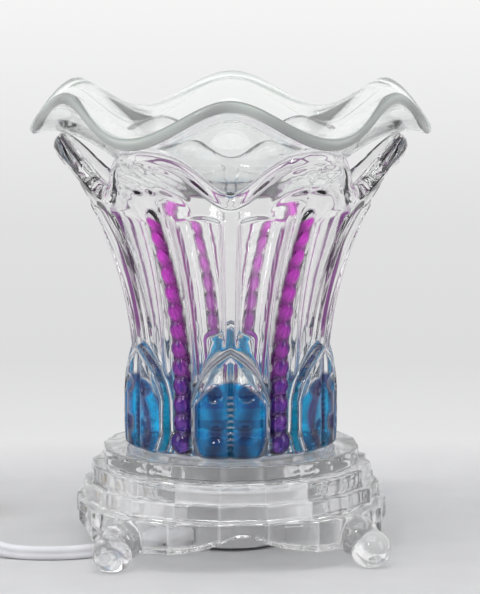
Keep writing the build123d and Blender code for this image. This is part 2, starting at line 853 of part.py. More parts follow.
def dimmer_shell(name, low, high, cavity_low, cavity_high, outer_face):
    """One half of the dimmer's case: a rounded tray with two screw bosses and the wheel's slot."""
    with BuildPart() as made:
        with BuildSketch(dimmer_plane.offset(low)):
            RectangleRounded(dimmer_length, dimmer_width, dimmer_corner)
        extrude(amount=high - low)
        fillet(made.edges().group_by(Axis.Z)[outer_face], dimmer_edge_fillet)
        with BuildSketch(dimmer_plane.offset(cavity_low)):
            RectangleRounded(inner_length, inner_width, dimmer_corner - dimmer_wall)
            with GridLocations(dimmer_screw_spacing, 0, 2, 1):
                Circle(dimmer_boss_radius, mode=Mode.SUBTRACT)
        extrude(amount=cavity_high - cavity_low, mode=Mode.SUBTRACT)
        slot_low = max(low, wheel_slot_low)
        with BuildSketch(dimmer_plane.offset(slot_low)):
            with Locations((0, dimmer_width / 2)):
                Rectangle(wheel_slot_length, 2 * dimmer_wall + loose_gap)
        extrude(amount=min(high, wheel_slot_high) - slot_low, mode=Mode.SUBTRACT)
        with BuildSketch(dimmer_plane):
            with GridLocations(dimmer_screw_spacing, 0, 2, 1):
                Circle(dimmer_screw_radius + running_gap)
        extrude(amount=screw_end + loose_gap, mode=Mode.SUBTRACT)
        with BuildSketch(dimmer_plane):
            with GridLocations(dimmer_screw_spacing, 0, 2, 1):
                Circle(dimmer_screw_head_radius + loose_gap)
        extrude(amount=screw_seat, mode=Mode.SUBTRACT)
    made.part.label = name
    return made


dimmer_bottom = dimmer_shell("dimmer_bottom", 0, dimmer_split, dimmer_wall, dimmer_split, 0)
export_step(dimmer_bottom.part, "parts/dimmer_bottom.step")
dimmer_top = dimmer_shell("dimmer_top", dimmer_split, dimmer_height, dimmer_split, dimmer_ceiling, -1)
export_step(dimmer_top.part, "parts/dimmer_top.step")

with BuildPart() as dimmer_wheel:
    with BuildSketch(dimmer_plane.offset(wheel_low)):
        with Locations((0, wheel_offset)):
            Circle(wheel_radius)
            Circle(axle_radius + running_gap, mode=Mode.SUBTRACT)
            with PolarLocations(wheel_radius, wheel_grooves):
                Circle(wheel_groove_radius, mode=Mode.SUBTRACT)
    extrude(amount=wheel_thickness)
    with BuildSketch(dimmer_plane.offset(wheel_low + wheel_thickness)):
        with Locations((0, wheel_offset + wheel_radius - 2 * wheel_mark_radius)):
            Circle(wheel_mark_radius)
    extrude(amount=-wheel_mark_depth, mode=Mode.SUBTRACT)
dimmer_wheel.part.label = "dimmer_wheel"
export_step(dimmer_wheel.part, "parts/dimmer_wheel.step")

with BuildPart() as dimmer_axle:
    with BuildSketch(dimmer_plane.offset(dimmer_wall)):
        with Locations((0, wheel_offset)):
            Circle(axle_radius)
    extrude(amount=dimmer_ceiling - dimmer_wall)
dimmer_axle.part.label = "dimmer_axle"
export_step(dimmer_axle.part, "parts/dimmer_axle.step")

with BuildPart() as dimmer_board:
    with BuildSketch(dimmer_plane.offset(dimmer_wall)):
        Rectangle(board_length, board_width)
        with Locations((0, wheel_offset)):
            Circle(axle_radius + board_hole_gap, mode=Mode.SUBTRACT)
    extrude(amount=board_thickness)
dimmer_board.part.label = "dimmer_board"
export_step(dimmer_board.part, "parts/dimmer_board.step")

with BuildPart() as dimmer_screws:
    for radius, low, high in (
        (dimmer_screw_head_radius, screw_seat - dimmer_screw_head, screw_seat),
        (dimmer_screw_radius, screw_seat, screw_end),
    ):
        with BuildSketch(dimmer_plane.offset(low)):
            with GridLocations(dimmer_screw_spacing, 0, 2, 1):
                Circle(radius)
        extrude(amount=high - low)
dimmer_screws.part.label = "dimmer_screws"
export_step(dimmer_screws.part, "parts/dimmer_screws.step")

with BuildPart() as dimmer_sleeves:
    for end in (1, -1):
        end_face = Plane(
            origin=dimmer_plane.from_local_coords((end * dimmer_length / 2, 0, dimmer_axis_height)),
            x_dir=(0, 0, 1),
            z_dir=lead_heading * end,
        )
        with BuildSketch(end_face):
            Circle(sleeve_radius)
        with BuildSketch(end_face.offset(sleeve_length)):
            Circle(sleeve_tip_radius)
        loft()
dimmer_sleeves.part.label = "dimmer_sleeves"
export_step(dimmer_sleeves.part, "parts/dimmer_sleeves.step")

# Lead from the dimmer down to the coil's lowest layer
coil_height = cord_radius + coil_lift
coil_side = Vector(lead_heading.Y, -lead_heading.X, 0)
lead_out = sleeve_start + lead_heading * (2 * sleeve_length + dimmer_length)
lead_low = lead_out + lead_heading * (coil_lead_runs[0] + coil_lead_runs[1])
lead_low.Z = coil_height
coil_entry = lead_low + lead_heading * coil_lead_runs[2]
coil_lead_points = [lead_out, lead_out + lead_heading * coil_lead_runs[0], lead_low, coil_entry]
cord_lead = lead_tube("cord_lead", coil_lead_points)
export_step(cord_lead.part, "parts/cord_lead.step")

# Coil: half turns that spiral in and out again, climbing a layer where the spiral reverses
with BuildPart() as cord_coil:
    with BuildLine() as coil_path:
        spot = coil_entry + lead_heading * cord_diameter
        Line(coil_entry, spot)
        for half_turn in range(4 * coil_layers - 1):
            inward = 3 - abs((half_turn + 1) % 8 - 4)
            turn_radius = coil_outer_radius - inward * cord_pitch / 2
            ahead = lead_heading if half_turn % 2 == 0 else -lead_heading
            across = coil_side if half_turn % 2 == 0 else -coil_side
            next_spot = spot + across * (2 * turn_radius)
            if (half_turn + 1) % 4 == 0:
                next_spot = next_spot + Vector(0, 0, cord_pitch)
                crown = (spot + next_spot) * 0.5 + ahead * ((next_spot - spot).length / 2)
                climb = TangentArc(spot, crown, tangent=ahead)
                TangentArc(crown, next_spot, tangent=climb % 1)
            else:
                TangentArc(spot, next_spot, tangent=ahead)
            spot = next_spot
        coil_exit = spot - lead_heading * cord_diameter
        Line(spot, coil_exit)
    with BuildSketch(Plane(origin=coil_entry, z_dir=lead_heading)):
        Circle(cord_radius)
    sweep(path=coil_path.wires()[0])
cord_coil.part.label = "cord_coil"
export_step(cord_coil.part, "parts/cord_coil.step")

coil_wire = coil_path.wires()[0]
coil_samples = 900
coil_points = [coil_wire @ (index / coil_samples) for index in range(coil_samples + 1)]
coil_step = coil_wire.length / coil_samples
apart = int(4 * cord_diameter / coil_step)
coil_gap = min(
    (coil_points[first] - coil_points[second]).length
    for first in range(coil_samples + 1)
    for second in range(first + apart, coil_samples + 1)
) - cord_diameter
coil_share = cord_coil.part.volume / (math.pi * cord_radius**2 * coil_wire.length)
print("cord_coil length", round(coil_wire.length, 1), "least gap", round(coil_gap, 2))
print("cord_coil volume over section times length", round(coil_share, 4))

# Tie round the coil's two columns of turns, a quarter turn in from the entry;
# the even layers lie half a pitch further across than the odd ones
tie_middle = coil_outer_radius - cord_pitch / 2
coil_centre = coil_entry + lead_heading * cord_diameter + coil_side * (coil_outer_radius + cord_pitch / 2)
tie_plane = Plane(
    origin=coil_centre + lead_heading * tie_middle + Vector(0, 0, (coil_layers - 1) * cord_pitch / 2),
    x_dir=lead_heading,
    z_dir=coil_side,
)
tie_inner_width = cord_pitch + cord_diameter + 2 * tie_slack
tie_inner_height = (coil_layers - 1) * cord_pitch + cord_diameter + loose_gap
tie_outer_width = tie_inner_width + 2 * tie_band
tie_outer_height = tie_inner_height + 2 * tie_band
with BuildPart() as cord_tie:
    with BuildSketch(tie_plane):
        RectangleRounded(tie_outer_width, tie_outer_height, tie_corner + tie_band)
        RectangleRounded(tie_inner_width, tie_inner_height, tie_corner, mode=Mode.SUBTRACT)
    extrude(amount=tie_width / 2, both=True)
cord_tie.part.label = "cord_tie"
export_step(cord_tie.part, "parts/cord_tie.step")

# Lead from the coil's top layer down to the plug
plug_low = coil_exit - lead_heading * (plug_lead_runs[0] + plug_lead_runs[1])
plug_low.Z = plug_height / 2
plug_entry = plug_low - lead_heading * plug_lead_runs[2]
plug_lead_points = [coil_exit, coil_exit - lead_heading * plug_lead_runs[0], plug_low, plug_entry]
cord_tail = lead_tube("cord_tail", plug_lead_points)
export_step(cord_tail.part, "parts/cord_tail.step")

# Plug, lying flat: local Z runs from its tail to its blades, local X is upright
plug_plane = Plane(origin=plug_entry, x_dir=(0, 0, 1), z_dir=-lead_heading)
with BuildPart() as plug_body:
    with BuildSketch(plug_plane.offset(plug_tail)):
        RectangleRounded(plug_height, plug_width, plug_fillet)
    extrude(amount=plug_length)
    fillet(plug_body.faces().sort_by(Axis(plug_entry, -lead_heading))[-1].edges(), plug_fillet / 4)
    with BuildSketch(plug_plane):
        Circle(sleeve_tip_radius)
    with BuildSketch(plug_plane.offset(plug_tail)):
        Circle(plug_tail_radius)
    loft()
plug_body.part.label = "plug_body"
export_step(plug_body.part, "parts/plug_body.step")

blade_start = plug_tail + plug_length
with BuildPart() as plug_blades:
    with BuildSketch(plug_plane.offset(blade_start)):
        with GridLocations(0, blade_spacing, 1, 2):
            Rectangle(blade_width, blade_thickness)
    extrude(amount=blade_length)
    hole_centre = plug_plane.from_local_coords((0, 0, blade_start + blade_length - blade_hole_from_tip))
    with BuildSketch(Plane(origin=hole_centre, x_dir=(0, 0, 1), z_dir=coil_side)):
        Circle(blade_hole_radius)
    extrude(amount=blade_spacing, both=True, mode=Mode.SUBTRACT)
plug_blades.part.label = "plug_blades"
export_step(plug_blades.part, "parts/plug_blades.step")
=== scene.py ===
import json
import math
from types import SimpleNamespace

import bmesh
import bpy
import numpy as np
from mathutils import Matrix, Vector


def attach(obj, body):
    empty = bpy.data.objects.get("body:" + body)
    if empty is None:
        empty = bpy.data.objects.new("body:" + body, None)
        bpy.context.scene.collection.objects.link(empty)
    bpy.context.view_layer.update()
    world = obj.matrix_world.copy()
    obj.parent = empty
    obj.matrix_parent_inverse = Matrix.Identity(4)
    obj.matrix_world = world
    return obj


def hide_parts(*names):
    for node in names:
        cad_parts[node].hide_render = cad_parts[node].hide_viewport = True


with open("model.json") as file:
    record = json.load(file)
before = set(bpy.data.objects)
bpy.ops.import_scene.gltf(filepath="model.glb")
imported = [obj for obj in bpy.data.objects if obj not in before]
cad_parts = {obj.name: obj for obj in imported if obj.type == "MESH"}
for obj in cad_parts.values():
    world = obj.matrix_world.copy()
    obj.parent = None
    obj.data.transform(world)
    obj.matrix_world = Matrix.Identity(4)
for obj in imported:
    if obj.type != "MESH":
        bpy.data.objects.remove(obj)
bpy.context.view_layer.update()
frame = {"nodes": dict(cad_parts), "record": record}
scene = bpy.context.scene
scene.view_settings.view_transform = "Standard"
MM = 0.001


# ---------------------------------------------------------------- camera
# Place, dip and focal length were fitted to points of the object in the 480 x 594 picture.
SENSOR_WIDTH = 36.0
PICTURE_WIDTH = 480.0
FOCAL_PIXELS = 3322.6
CAMERA_PLACE = (0.0033, -1.1766, 0.2631)
CAMERA_DIP = 8.42

camera_data = bpy.data.cameras.new("camera")
camera_data.sensor_fit = "HORIZONTAL"
camera_data.sensor_width = SENSOR_WIDTH
camera_data.lens = SENSOR_WIDTH * FOCAL_PIXELS / PICTURE_WIDTH
camera_data.clip_start = 0.05
camera_data.clip_end = 20.0
camera = bpy.data.objects.new("camera", camera_data)
camera.location = CAMERA_PLACE
camera.rotation_euler = (math.radians(90.0 - CAMERA_DIP), 0.0, 0.0)
scene.collection.objects.link(camera)
scene.camera = camera


# ---------------------------------------------------------------- mesh helpers
def new_piece(name, mesh, material, body):
    """Piece that rides on a body, with the material it is given."""
    mesh.materials.append(material)
    piece = bpy.data.objects.new(name, mesh)
    scene.collection.objects.link(piece)
    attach(piece, body)
    return piece


def ring_points(angle, radius, height):
    """Points round the axis; the angle is in radians from the front towards the right."""
    radius = np.broadcast_to(radius, angle.shape)
    height = np.broadcast_to(height, angle.shape)
    return np.stack([radius * np.sin(angle), -radius * np.cos(angle), height], axis=-1)


def grid_mesh(name, rings, close_rings):
    """Mesh from an array of rings of points (rings, turns, 3) in mm; the turns always close."""
    count, turns, _ = rings.shape
    mesh = bpy.data.meshes.new(name)
    first = np.arange(count if close_rings else count - 1)
    lower = first[:, None] * turns + np.arange(turns)[None, :]
    upper = ((first + 1) % count)[:, None] * turns + np.arange(turns)[None, :]
    next_lower, next_upper = np.roll(lower, -1, axis=1), np.roll(upper, -1, axis=1)
    faces = np.stack([lower, next_lower, next_upper, upper], axis=-1).reshape(-1, 4)
    mesh.vertices.add(count * turns)
    mesh.vertices.foreach_set("co", (rings.reshape(-1) * MM).astype(np.float32))
    mesh.loops.add(faces.size)
    mesh.loops.foreach_set("vertex_index", faces.reshape(-1).astype(np.int32))
    mesh.polygons.add(len(faces))
    mesh.polygons.foreach_set("loop_start", (np.arange(len(faces)) * 4).astype(np.int32))
    mesh.update(calc_edges=True)
    mesh.validate()
    mesh.shade_smooth()
    return mesh


def cap_ends(mesh, turns):
    """Close the first and the last ring of a mesh of rings."""
    shell = bmesh.new()
    shell.from_mesh(mesh)
    shell.verts.ensure_lookup_table()
    for first in (0, len(shell.verts) - turns):
        shell.faces.new([shell.verts[first + index] for index in range(turns)])
    bmesh.ops.recalc_face_normals(shell, faces=shell.faces)
    shell.to_mesh(mesh)
    shell.free()
    mesh.shade_smooth()


def paint(mesh, name, colours):
    """Colour attribute with one colour for each vertex."""
    layer = mesh.color_attributes.new(name, "FLOAT_COLOR", "POINT")
    layer.data.foreach_set("color", colours.reshape(-1).astype(np.float32))


def blend_step(value, low, high):
    """Smooth step from 0 at low to 1 at high."""
    share = np.clip((value - low) / (high - low), 0.0, 1.0)
    return share * share * (3.0 - 2.0 * share)


def dome(value):
    """Height of a round dome whose squared distance from its middle is value, 0 outside it."""
    return np.sqrt(np.clip(1.0 - value, 0.0, None))


def bell(value, middle, width):
    """Soft bump that is 1 at its middle."""
    return np.exp(-((value - middle) / width) ** 2)


# ---------------------------------------------------------------- material helpers
NOISE_LOW, NOISE_HIGH = 0.3, 0.7


def new_material(name):
    material = bpy.data.materials.new(name)
    material.use_nodes = True
    tree = material.node_tree
    return material, tree, tree.nodes["Principled BSDF"]


def attribute(tree, name):
    """Outputs of the node that reads a painted attribute."""
    node = tree.nodes.new("ShaderNodeAttribute")
    node.attribute_name = name
    return node.outputs


def map_range(tree, value, to_low=0.0, to_high=1.0, from_low=0.0, from_high=1.0):
    node = tree.nodes.new("ShaderNodeMapRange")
    node.inputs["From Min"].default_value = from_low
    node.inputs["From Max"].default_value = from_high
    node.inputs["To Min"].default_value = to_low
    node.inputs["To Max"].default_value = to_high
    tree.links.new(value, node.inputs["Value"])
    return node.outputs["Result"]


def math_node(tree, operation, first, second):
    node = tree.nodes.new("ShaderNodeMath")
    node.operation = operation
    tree.links.new(first, node.inputs[0])
    tree.links.new(second, node.inputs[1])
    return node.outputs["Value"]


def mix_colours(tree, share, first, second):
    """Colour between a fixed first one and a linked second one."""
    node = tree.nodes.new("ShaderNodeMix")
    node.data_type = "RGBA"
    node.inputs["A"].default_value = (*first, 1.0)
    tree.links.new(share, node.inputs["Factor"])
    tree.links.new(second, node.inputs["B"])
    return node.outputs["Result"]


def mix_shaders(tree, share, first, second):
    node = tree.nodes.new("ShaderNodeMixShader")
    tree.links.new(share, node.inputs["Fac"])
    tree.links.new(first, node.inputs[1])
    tree.links.new(second, node.inputs[2])
    return node.outputs["Shader"]


def colour_ramp(tree, share, stops):
    """Colour that runs through (position, colour) stops."""
    node = tree.nodes.new("ShaderNodeValToRGB")
    elements = node.color_ramp.elements
    for element, (position, colour) in zip((elements[0], elements[1]), (stops[0], stops[-1])):
        element.position = position
        element.color = (*colour, 1.0)
    for position, colour in stops[1:-1]:
        elements.new(position).color = (*colour, 1.0)
    tree.links.new(share, node.inputs["Fac"])
    return node.outputs["Color"]


def object_noise(tree, scale, detail, stretch=(1.0, 1.0, 1.0)):
    place = tree.nodes.new("ShaderNodeTexCoord")
    mapping = tree.nodes.new("ShaderNodeMapping")
    mapping.inputs["Scale"].default_value = stretch
    noise = tree.nodes.new("ShaderNodeTexNoise")
    noise.inputs["Scale"].default_value = scale
    noise.inputs["Detail"].default_value = detail
    tree.links.new(place.outputs["Object"], mapping.inputs["Vector"])
    tree.links.new(mapping.outputs["Vector"], noise.inputs["Vector"])
    return noise.outputs["Fac"]


def spread(tree, noise, low, high):
    """Value that the noise moves between low and high."""
    return map_range(tree, noise, low, high, NOISE_LOW, NOISE_HIGH)


def tone(tree, noise, dark, light):
    """Colour that the noise moves between dark and light."""
    return colour_ramp(tree, noise, ((NOISE_LOW, dark), (NOISE_HIGH, light)))


def bump(tree, shader, height, strength, distance):
    node = tree.nodes.new("ShaderNodeBump")
    node.inputs["Strength"].default_value = strength
    node.inputs["Distance"].default_value = distance
    tree.links.new(height, node.inputs["Height"])
    tree.links.new(node.outputs["Normal"], shader.inputs["Normal"])


# ---------------------------------------------------------------- glass materials
GLASS_IOR = 1.5
GLASS_ROUGH = (0.0, 0.03)
GLASS_BUMP = 0.001
PRESSED_TINT = (0.985, 0.985, 0.985)
DISH_TINT = (0.975, 0.985, 0.98)
# the base's clarity where clear, and where its painted light makes it milky
BASE_CLARITY, BASE_LIT_CLARITY = 0.95, 0.6
DISH_CLARITY, DISH_EDGE_CLARITY = 0.97, 0.5
STAIN_CLARITY = 0.65


def let_light_through(tree, shader, colour):
    """Shadow rays pass the glass, tinted, so that what stands in it and under it stays lit."""
    path = tree.nodes.new("ShaderNodeLightPath")
    clear = tree.nodes.new("ShaderNodeBsdfTransparent")
    if isinstance(colour, tuple):
        clear.inputs["Color"].default_value = (*colour, 1.0)
    else:
        tree.links.new(colour, clear.inputs["Color"])
    surface = mix_shaders(
        tree, path.outputs["Is Shadow Ray"], shader.outputs["BSDF"], clear.outputs["BSDF"]
    )
    tree.links.new(surface, tree.nodes["Material Output"].inputs["Surface"])


def clear_glass(name, tint, ripple_scale, ripple, shade, clarity=1.0):
    material, tree, shader = new_material(name)
    shader.inputs["Base Color"].default_value = (*tint, 1.0)
    shader.inputs["Transmission Weight"].default_value = clarity
    shader.inputs["IOR"].default_value = GLASS_IOR
    broad = object_noise(tree, ripple_scale, 2.0)
    fine = object_noise(tree, ripple_scale * 6.0, 2.0)
    tree.links.new(spread(tree, fine, *GLASS_ROUGH), shader.inputs["Roughness"])
    bump(tree, shader, broad, ripple, GLASS_BUMP)
    let_light_through(tree, shader, shade)
    return material, tree, shader


def stained_glass():
    """Clear pressed glass; the fired stain, with painted light and shade, painted refraction lines
    and painted glints, is painted on the mesh and mottled here.
    """
    material, tree, shader = new_material("stained_pressed_glass")
    shader.inputs["IOR"].default_value = GLASS_IOR
    stain_and_light = attribute(tree, "stain_and_light")
    mottled = tree.nodes.new("ShaderNodeVectorMath")
    mottled.operation = "SCALE"
    mottle = spread(tree, object_noise(tree, 260.0, 4.0), 0.7, 1.25)
    tree.links.new(stain_and_light["Color"], mottled.inputs[0])
    tree.links.new(mottle, mottled.inputs["Scale"])
    tint = mix_colours(tree, stain_and_light["Alpha"], PRESSED_TINT, mottled.outputs["Vector"])
    tree.links.new(tint, shader.inputs["Base Color"])
    clarity = map_range(tree, stain_and_light["Alpha"], 1.0, STAIN_CLARITY)
    tree.links.new(clarity, shader.inputs["Transmission Weight"])
    fine = object_noise(tree, 700.0, 2.0)
    tree.links.new(spread(tree, fine, *GLASS_ROUGH), shader.inputs["Roughness"])
    bump(tree, shader, object_noise(tree, 120.0, 2.0), 0.05, GLASS_BUMP)
    let_light_through(tree, shader, tint)
    return material


def base_glass():
    """Clear pressed glass; the mesh's painted light makes it milky (red) and its painted shade
    darkens it (green).
    """
    material, tree, shader = clear_glass(
        "clear_pressed_glass", PRESSED_TINT, ripple_scale=110.0, ripple=0.06,
        shade=(0.62, 0.62, 0.62), clarity=BASE_CLARITY,
    )
    painted = tree.nodes.new("ShaderNodeSeparateColor")
    tree.links.new(attribute(tree, "painted_light")["Color"], painted.inputs["Color"])
    grey = tree.nodes.new("ShaderNodeCombineColor")
    for channel in ("Red", "Green", "Blue"):
        tree.links.new(painted.outputs["Green"], grey.inputs[channel])
    tree.links.new(grey.outputs["Color"], shader.inputs["Base Color"])
    clarity = map_range(tree, painted.outputs["Red"], BASE_CLARITY, BASE_LIT_CLARITY)
    tree.links.new(clarity, shader.inputs["Transmission Weight"])
    return material


def dish_glass():
    """Clear glass, greenish in its depth; the mesh's paint gives its edge a colour, with a painted
    highlight and painted shade, and a share.
    """
    material, tree, shader = clear_glass(
        "sagged_dish_glass", DISH_TINT, ripple_scale=60.0, ripple=0.04, shade=(0.93, 0.95, 0.94)
    )
    edge = attribute(tree, "edge")
    tint = mix_colours(tree, edge["Alpha"], DISH_TINT, edge["Color"])
    tree.links.new(tint, shader.inputs["Base Color"])
    clarity = map_range(tree, edge["Alpha"], DISH_CLARITY, DISH_EDGE_CLARITY)
    tree.links.new(clarity, shader.inputs["Transmission Weight"])
    inside = tree.nodes.new("ShaderNodeVolumeAbsorption")
    inside.inputs["Color"].default_value = (0.80, 0.90, 0.87, 1.0)
    inside.inputs["Density"].default_value = 8.0
    tree.links.new(inside.outputs["Volume"], tree.nodes["Material Output"].inputs["Volume"])
    return material


# ---------------------------------------------------------------- other materials
PLAIN_IOR = 1.46
PLAIN_BUMP = 0.0002
BROAD_SHARE = 0.15


def plain_material(name, dark, light, rough, grain, relief, metallic=0.0, stretch=(1, 1, 1)):
    material, tree, shader = new_material(name)
    broad = object_noise(tree, grain * BROAD_SHARE, 2.0, stretch)
    fine = object_noise(tree, grain, 4.0, stretch)
    tree.links.new(tone(tree, broad, dark, light), shader.inputs["Base Color"])
    tree.links.new(spread(tree, fine, *rough), shader.inputs["Roughness"])
    shader.inputs["Metallic"].default_value = metallic
    shader.inputs["IOR"].default_value = PLAIN_IOR
    bump(tree, shader, fine, relief, PLAIN_BUMP)
    return material


lamp_glass, _, _ = clear_glass(
    "lamp_glass", (0.98, 0.98, 0.97), ripple_scale=90.0, ripple=0.03, shade=(0.95, 0.95, 0.95)
)
slot_materials = {
    "white_plastic": plain_material(
        "white_plastic", (0.80, 0.80, 0.78), (0.86, 0.86, 0.84),
        rough=(0.32, 0.45), grain=900.0, relief=0.08,
    ),
    "grey_plastic": plain_material(
        "grey_plastic", (0.40, 0.40, 0.41), (0.46, 0.46, 0.47),
        rough=(0.4, 0.55), grain=900.0, relief=0.08,
    ),
    "white_cord": plain_material(
        "white_vinyl", (0.66, 0.66, 0.69), (0.73, 0.73, 0.76),
        rough=(0.38, 0.5), grain=500.0, relief=0.06,
    ),
    "tie": plain_material(
        "tie_vinyl", (0.70, 0.70, 0.69), (0.78, 0.78, 0.77),
        rough=(0.45, 0.6), grain=700.0, relief=0.1,
    ),
    "clear_rubber": plain_material(
        "pale_silicone", (0.66, 0.67, 0.67), (0.74, 0.75, 0.75),
        rough=(0.4, 0.55), grain=600.0, relief=0.08,
    ),
    "zinc_steel": plain_material(
        "zinc_steel", (0.58, 0.59, 0.60), (0.70, 0.71, 0.72),
        rough=(0.22, 0.4), grain=800.0, relief=0.1, metallic=1.0, stretch=(1, 1, 6),
    ),
    "brass": plain_material(
        "brass", (0.62, 0.46, 0.20), (0.74, 0.57, 0.27),
        rough=(0.2, 0.36), grain=900.0, relief=0.08, metallic=1.0,
    ),
    "ceramic": plain_material(
        "glazed_ceramic", (0.78, 0.77, 0.73), (0.86, 0.85, 0.81),
        rough=(0.12, 0.25), grain=300.0, relief=0.05,
    ),
    "reflector": plain_material(
        "reflector_coat", (0.80, 0.80, 0.79), (0.88, 0.88, 0.86),
        rough=(0.05, 0.12), grain=260.0, relief=0.12, metallic=1.0,
    ),
    "board": plain_material(
        "circuit_board", (0.04, 0.18, 0.08), (0.07, 0.26, 0.12),
        rough=(0.35, 0.5), grain=400.0, relief=0.1,
    ),
    "lamp_glass": lamp_glass,
}
for subpart in frame["record"]["subparts"]:
    if subpart["material_slot"] in slot_materials:
        for slot in frame["nodes"][subpart["node"]].material_slots:
            slot.material = slot_materials[subpart["material_slot"]]


# ---------------------------------------------------------------- mains lead
# Lengths are in mm. The lead is a flat twin one: two strands, one above the other.
STRAND_RADIUS = 1.5
STRAND_RISE = 1.0
STRAND_STEPS = 12
GROOVE_TURN = 12.0


def route_line(points):
    """Points of the smooth line that a route's control points give."""
    curve = bpy.data.curves.new("route", "CURVE")
    curve.dimensions = "3D"
    curve.resolution_u = 5
    spline = curve.splines.new("NURBS")
    spline.points.add(len(points) - 1)
    for point, place in zip(spline.points, points):
        point.co = (place[0] * MM, place[1] * MM, place[2] * MM, 1.0)
    spline.order_u = 3
    spline.use_endpoint_u = True
    holder = bpy.data.objects.new("route", curve)
    scene.collection.objects.link(holder)
    seen = holder.evaluated_get(bpy.context.evaluated_depsgraph_get())
    line = bpy.data.meshes.new_from_object(seen)
    places = [vertex.co.copy() for vertex in line.vertices]
    bpy.data.objects.remove(holder)
    bpy.data.curves.remove(curve)
    bpy.data.meshes.remove(line)
    return places


def twin_section():
    """Outline of the lead on its edge: two strands with a groove each side."""
    outline = []
    reach = math.degrees(math.asin(STRAND_RISE / STRAND_RADIUS)) - GROOVE_TURN
    for start, rise in ((-reach, STRAND_RISE), (180.0 - reach, -STRAND_RISE)):
        for step in range(STRAND_STEPS + 1):
            turn = math.radians(start + (180.0 + 2.0 * reach) * step / STRAND_STEPS)
            outline.append((STRAND_RADIUS * math.cos(turn), rise + STRAND_RADIUS * math.sin(turn)))
    return outline


def twin_lead(name, points):
    """Lead along a route, and the points of its line."""
    places = route_line(points)
    outline = twin_section()
    rings = np.zeros((len(places), len(outline), 3))
    for index, place in enumerate(places):
        before = places[max(index - 1, 0)]
        after = places[min(index + 1, len(places) - 1)]
        along = (after - before).normalized()
        aside = Vector((0, 0, 1)).cross(along).normalized()
        rise = along.cross(aside)
        for corner, (x, y) in enumerate(outline):
            rings[index, corner] = place / MM + aside * x + rise * y
    mesh = grid_mesh(name, rings, False)
    cap_ends(mesh, len(outline))
    lead = new_piece(name, mesh, slot_materials["white_cord"], "warmer")
    return lead, places


# From the strain relief to the dimmer
RELIEF_TIP = (-33.276, -19.601, 4.152)
DIMMER_ENTRY = (-101.973, -25.433, 6.5)
lamp_route = [
    RELIEF_TIP,
    (-42.235, -24.879, 2.691),
    (-54.0, -31.2, 2.5),
    (-67.0, -32.6, 2.5),
    (-79.5, -29.4, 2.5),
    (-91.0, -26.2, 6.5),
    DIMMER_ENTRY,
]
lamp_lead, lamp_line = twin_lead("lamp_lead", lamp_route)
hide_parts("cord_run")

# From the dimmer through the tied coil to the plug
LEAD_HEADING = math.radians(176.0)
DIMMER_SPAN = 56.0
COIL_GAP = 35.0
COIL_LEAD_IN = 5.0
COIL_HEIGHT = 3.5
OUT_RUN = 11.0
COIL_RADIUS = 31.75
COIL_STEP = 2.75
LAYER_RISE = 5.5
HALF_TURNS, LAYER_HALF_TURNS = 15, 4
HALF_TURN_POINTS = 6
PLUG_GAP = 52.0
PLUG_RUN = 13.0
PLUG_HEIGHT = 8.0

heading = Vector((math.cos(LEAD_HEADING), math.sin(LEAD_HEADING), 0.0))
across = Vector((heading.y, -heading.x, 0.0))
lead_out = Vector(DIMMER_ENTRY) + heading * DIMMER_SPAN
coil_entry = lead_out + heading * COIL_GAP
coil_entry.z = COIL_HEIGHT
spot = coil_entry + heading * COIL_LEAD_IN
plug_route = [
    lead_out, lead_out + heading * OUT_RUN, coil_entry - heading * OUT_RUN, coil_entry,
]
plug_route[2].z = COIL_HEIGHT
# the line runs inside its control points, so these stand a little further out than the turns
bow = 0.75 + 0.25 * math.cos(math.pi / HALF_TURN_POINTS)
for half in range(HALF_TURNS):
    in_layer = abs((half + 1) % (2 * LAYER_HALF_TURNS) - LAYER_HALF_TURNS)
    inward = LAYER_HALF_TURNS - 1 - in_layer
    radius = COIL_RADIUS - inward * COIL_STEP
    way = 1.0 if half % 2 == 0 else -1.0
    climb = LAYER_RISE if (half + 1) % LAYER_HALF_TURNS == 0 else 0.0
    middle = spot + across * (way * radius)
    reach = way * radius / bow
    for step in range(HALF_TURN_POINTS):
        turn = math.pi * (step + 0.5) / HALF_TURN_POINTS
        place = middle - across * (reach * math.cos(turn)) + heading * (reach * math.sin(turn))
        place.z = spot.z + climb * (1.0 - math.cos(turn)) / 2.0
        plug_route.append(place)
    spot = spot + across * (way * 2.0 * radius)
    spot.z += climb
coil_exit = spot - heading * COIL_LEAD_IN
plug_entry = coil_exit - heading * PLUG_GAP
plug_entry.z = PLUG_HEIGHT
plug_route += [
    coil_exit, coil_exit - heading * PLUG_RUN, plug_entry + heading * PLUG_RUN, plug_entry,
]
plug_route[-2].z = PLUG_HEIGHT
plug_lead, plug_line = twin_lead("plug_lead", plug_route)
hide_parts("cord_lead", "cord_coil", "cord_tail")


# ---------------------------------------------------------------- glass body
# Lengths are in mm. Turns are in degrees from the front towards the right. The shape repeats
# every 60 degrees: an arch in each sector's middle, columns and rim peaks between the sectors.
TURNS = 540
FOOT, ARCH_TOP, RIM_PEAK = 36.5, 78.5, 143.0    # heights; the arches' tips end below ARCH_TOP
RIM_DIP = 16.0
FOOT_RADIUS, FLARE, FLARE_POWER = 33.4, 29.1, 2.8
FOOT_ROUND = 1.6
WALL = 6.0
RIM_ROUND = 5.0
INNER_FOOT = 43.5
LOWER_RINGS, UPPER_RINGS, RIM_RINGS, INNER_RINGS = 120, 125, 18, 64
FLOOR_PROFILE = (
    (27.1, 42.6), (26.4, 42.15), (25.4, 42.0), (23.0, 42.0), (20.6, 42.0), (20.15, 41.8),
    (20.0, 41.3), (20.0, 39.2), (20.0, 37.0), (20.2, 36.6), (20.6, 36.5), (24.0, 36.5),
    (28.0, 36.5),
)

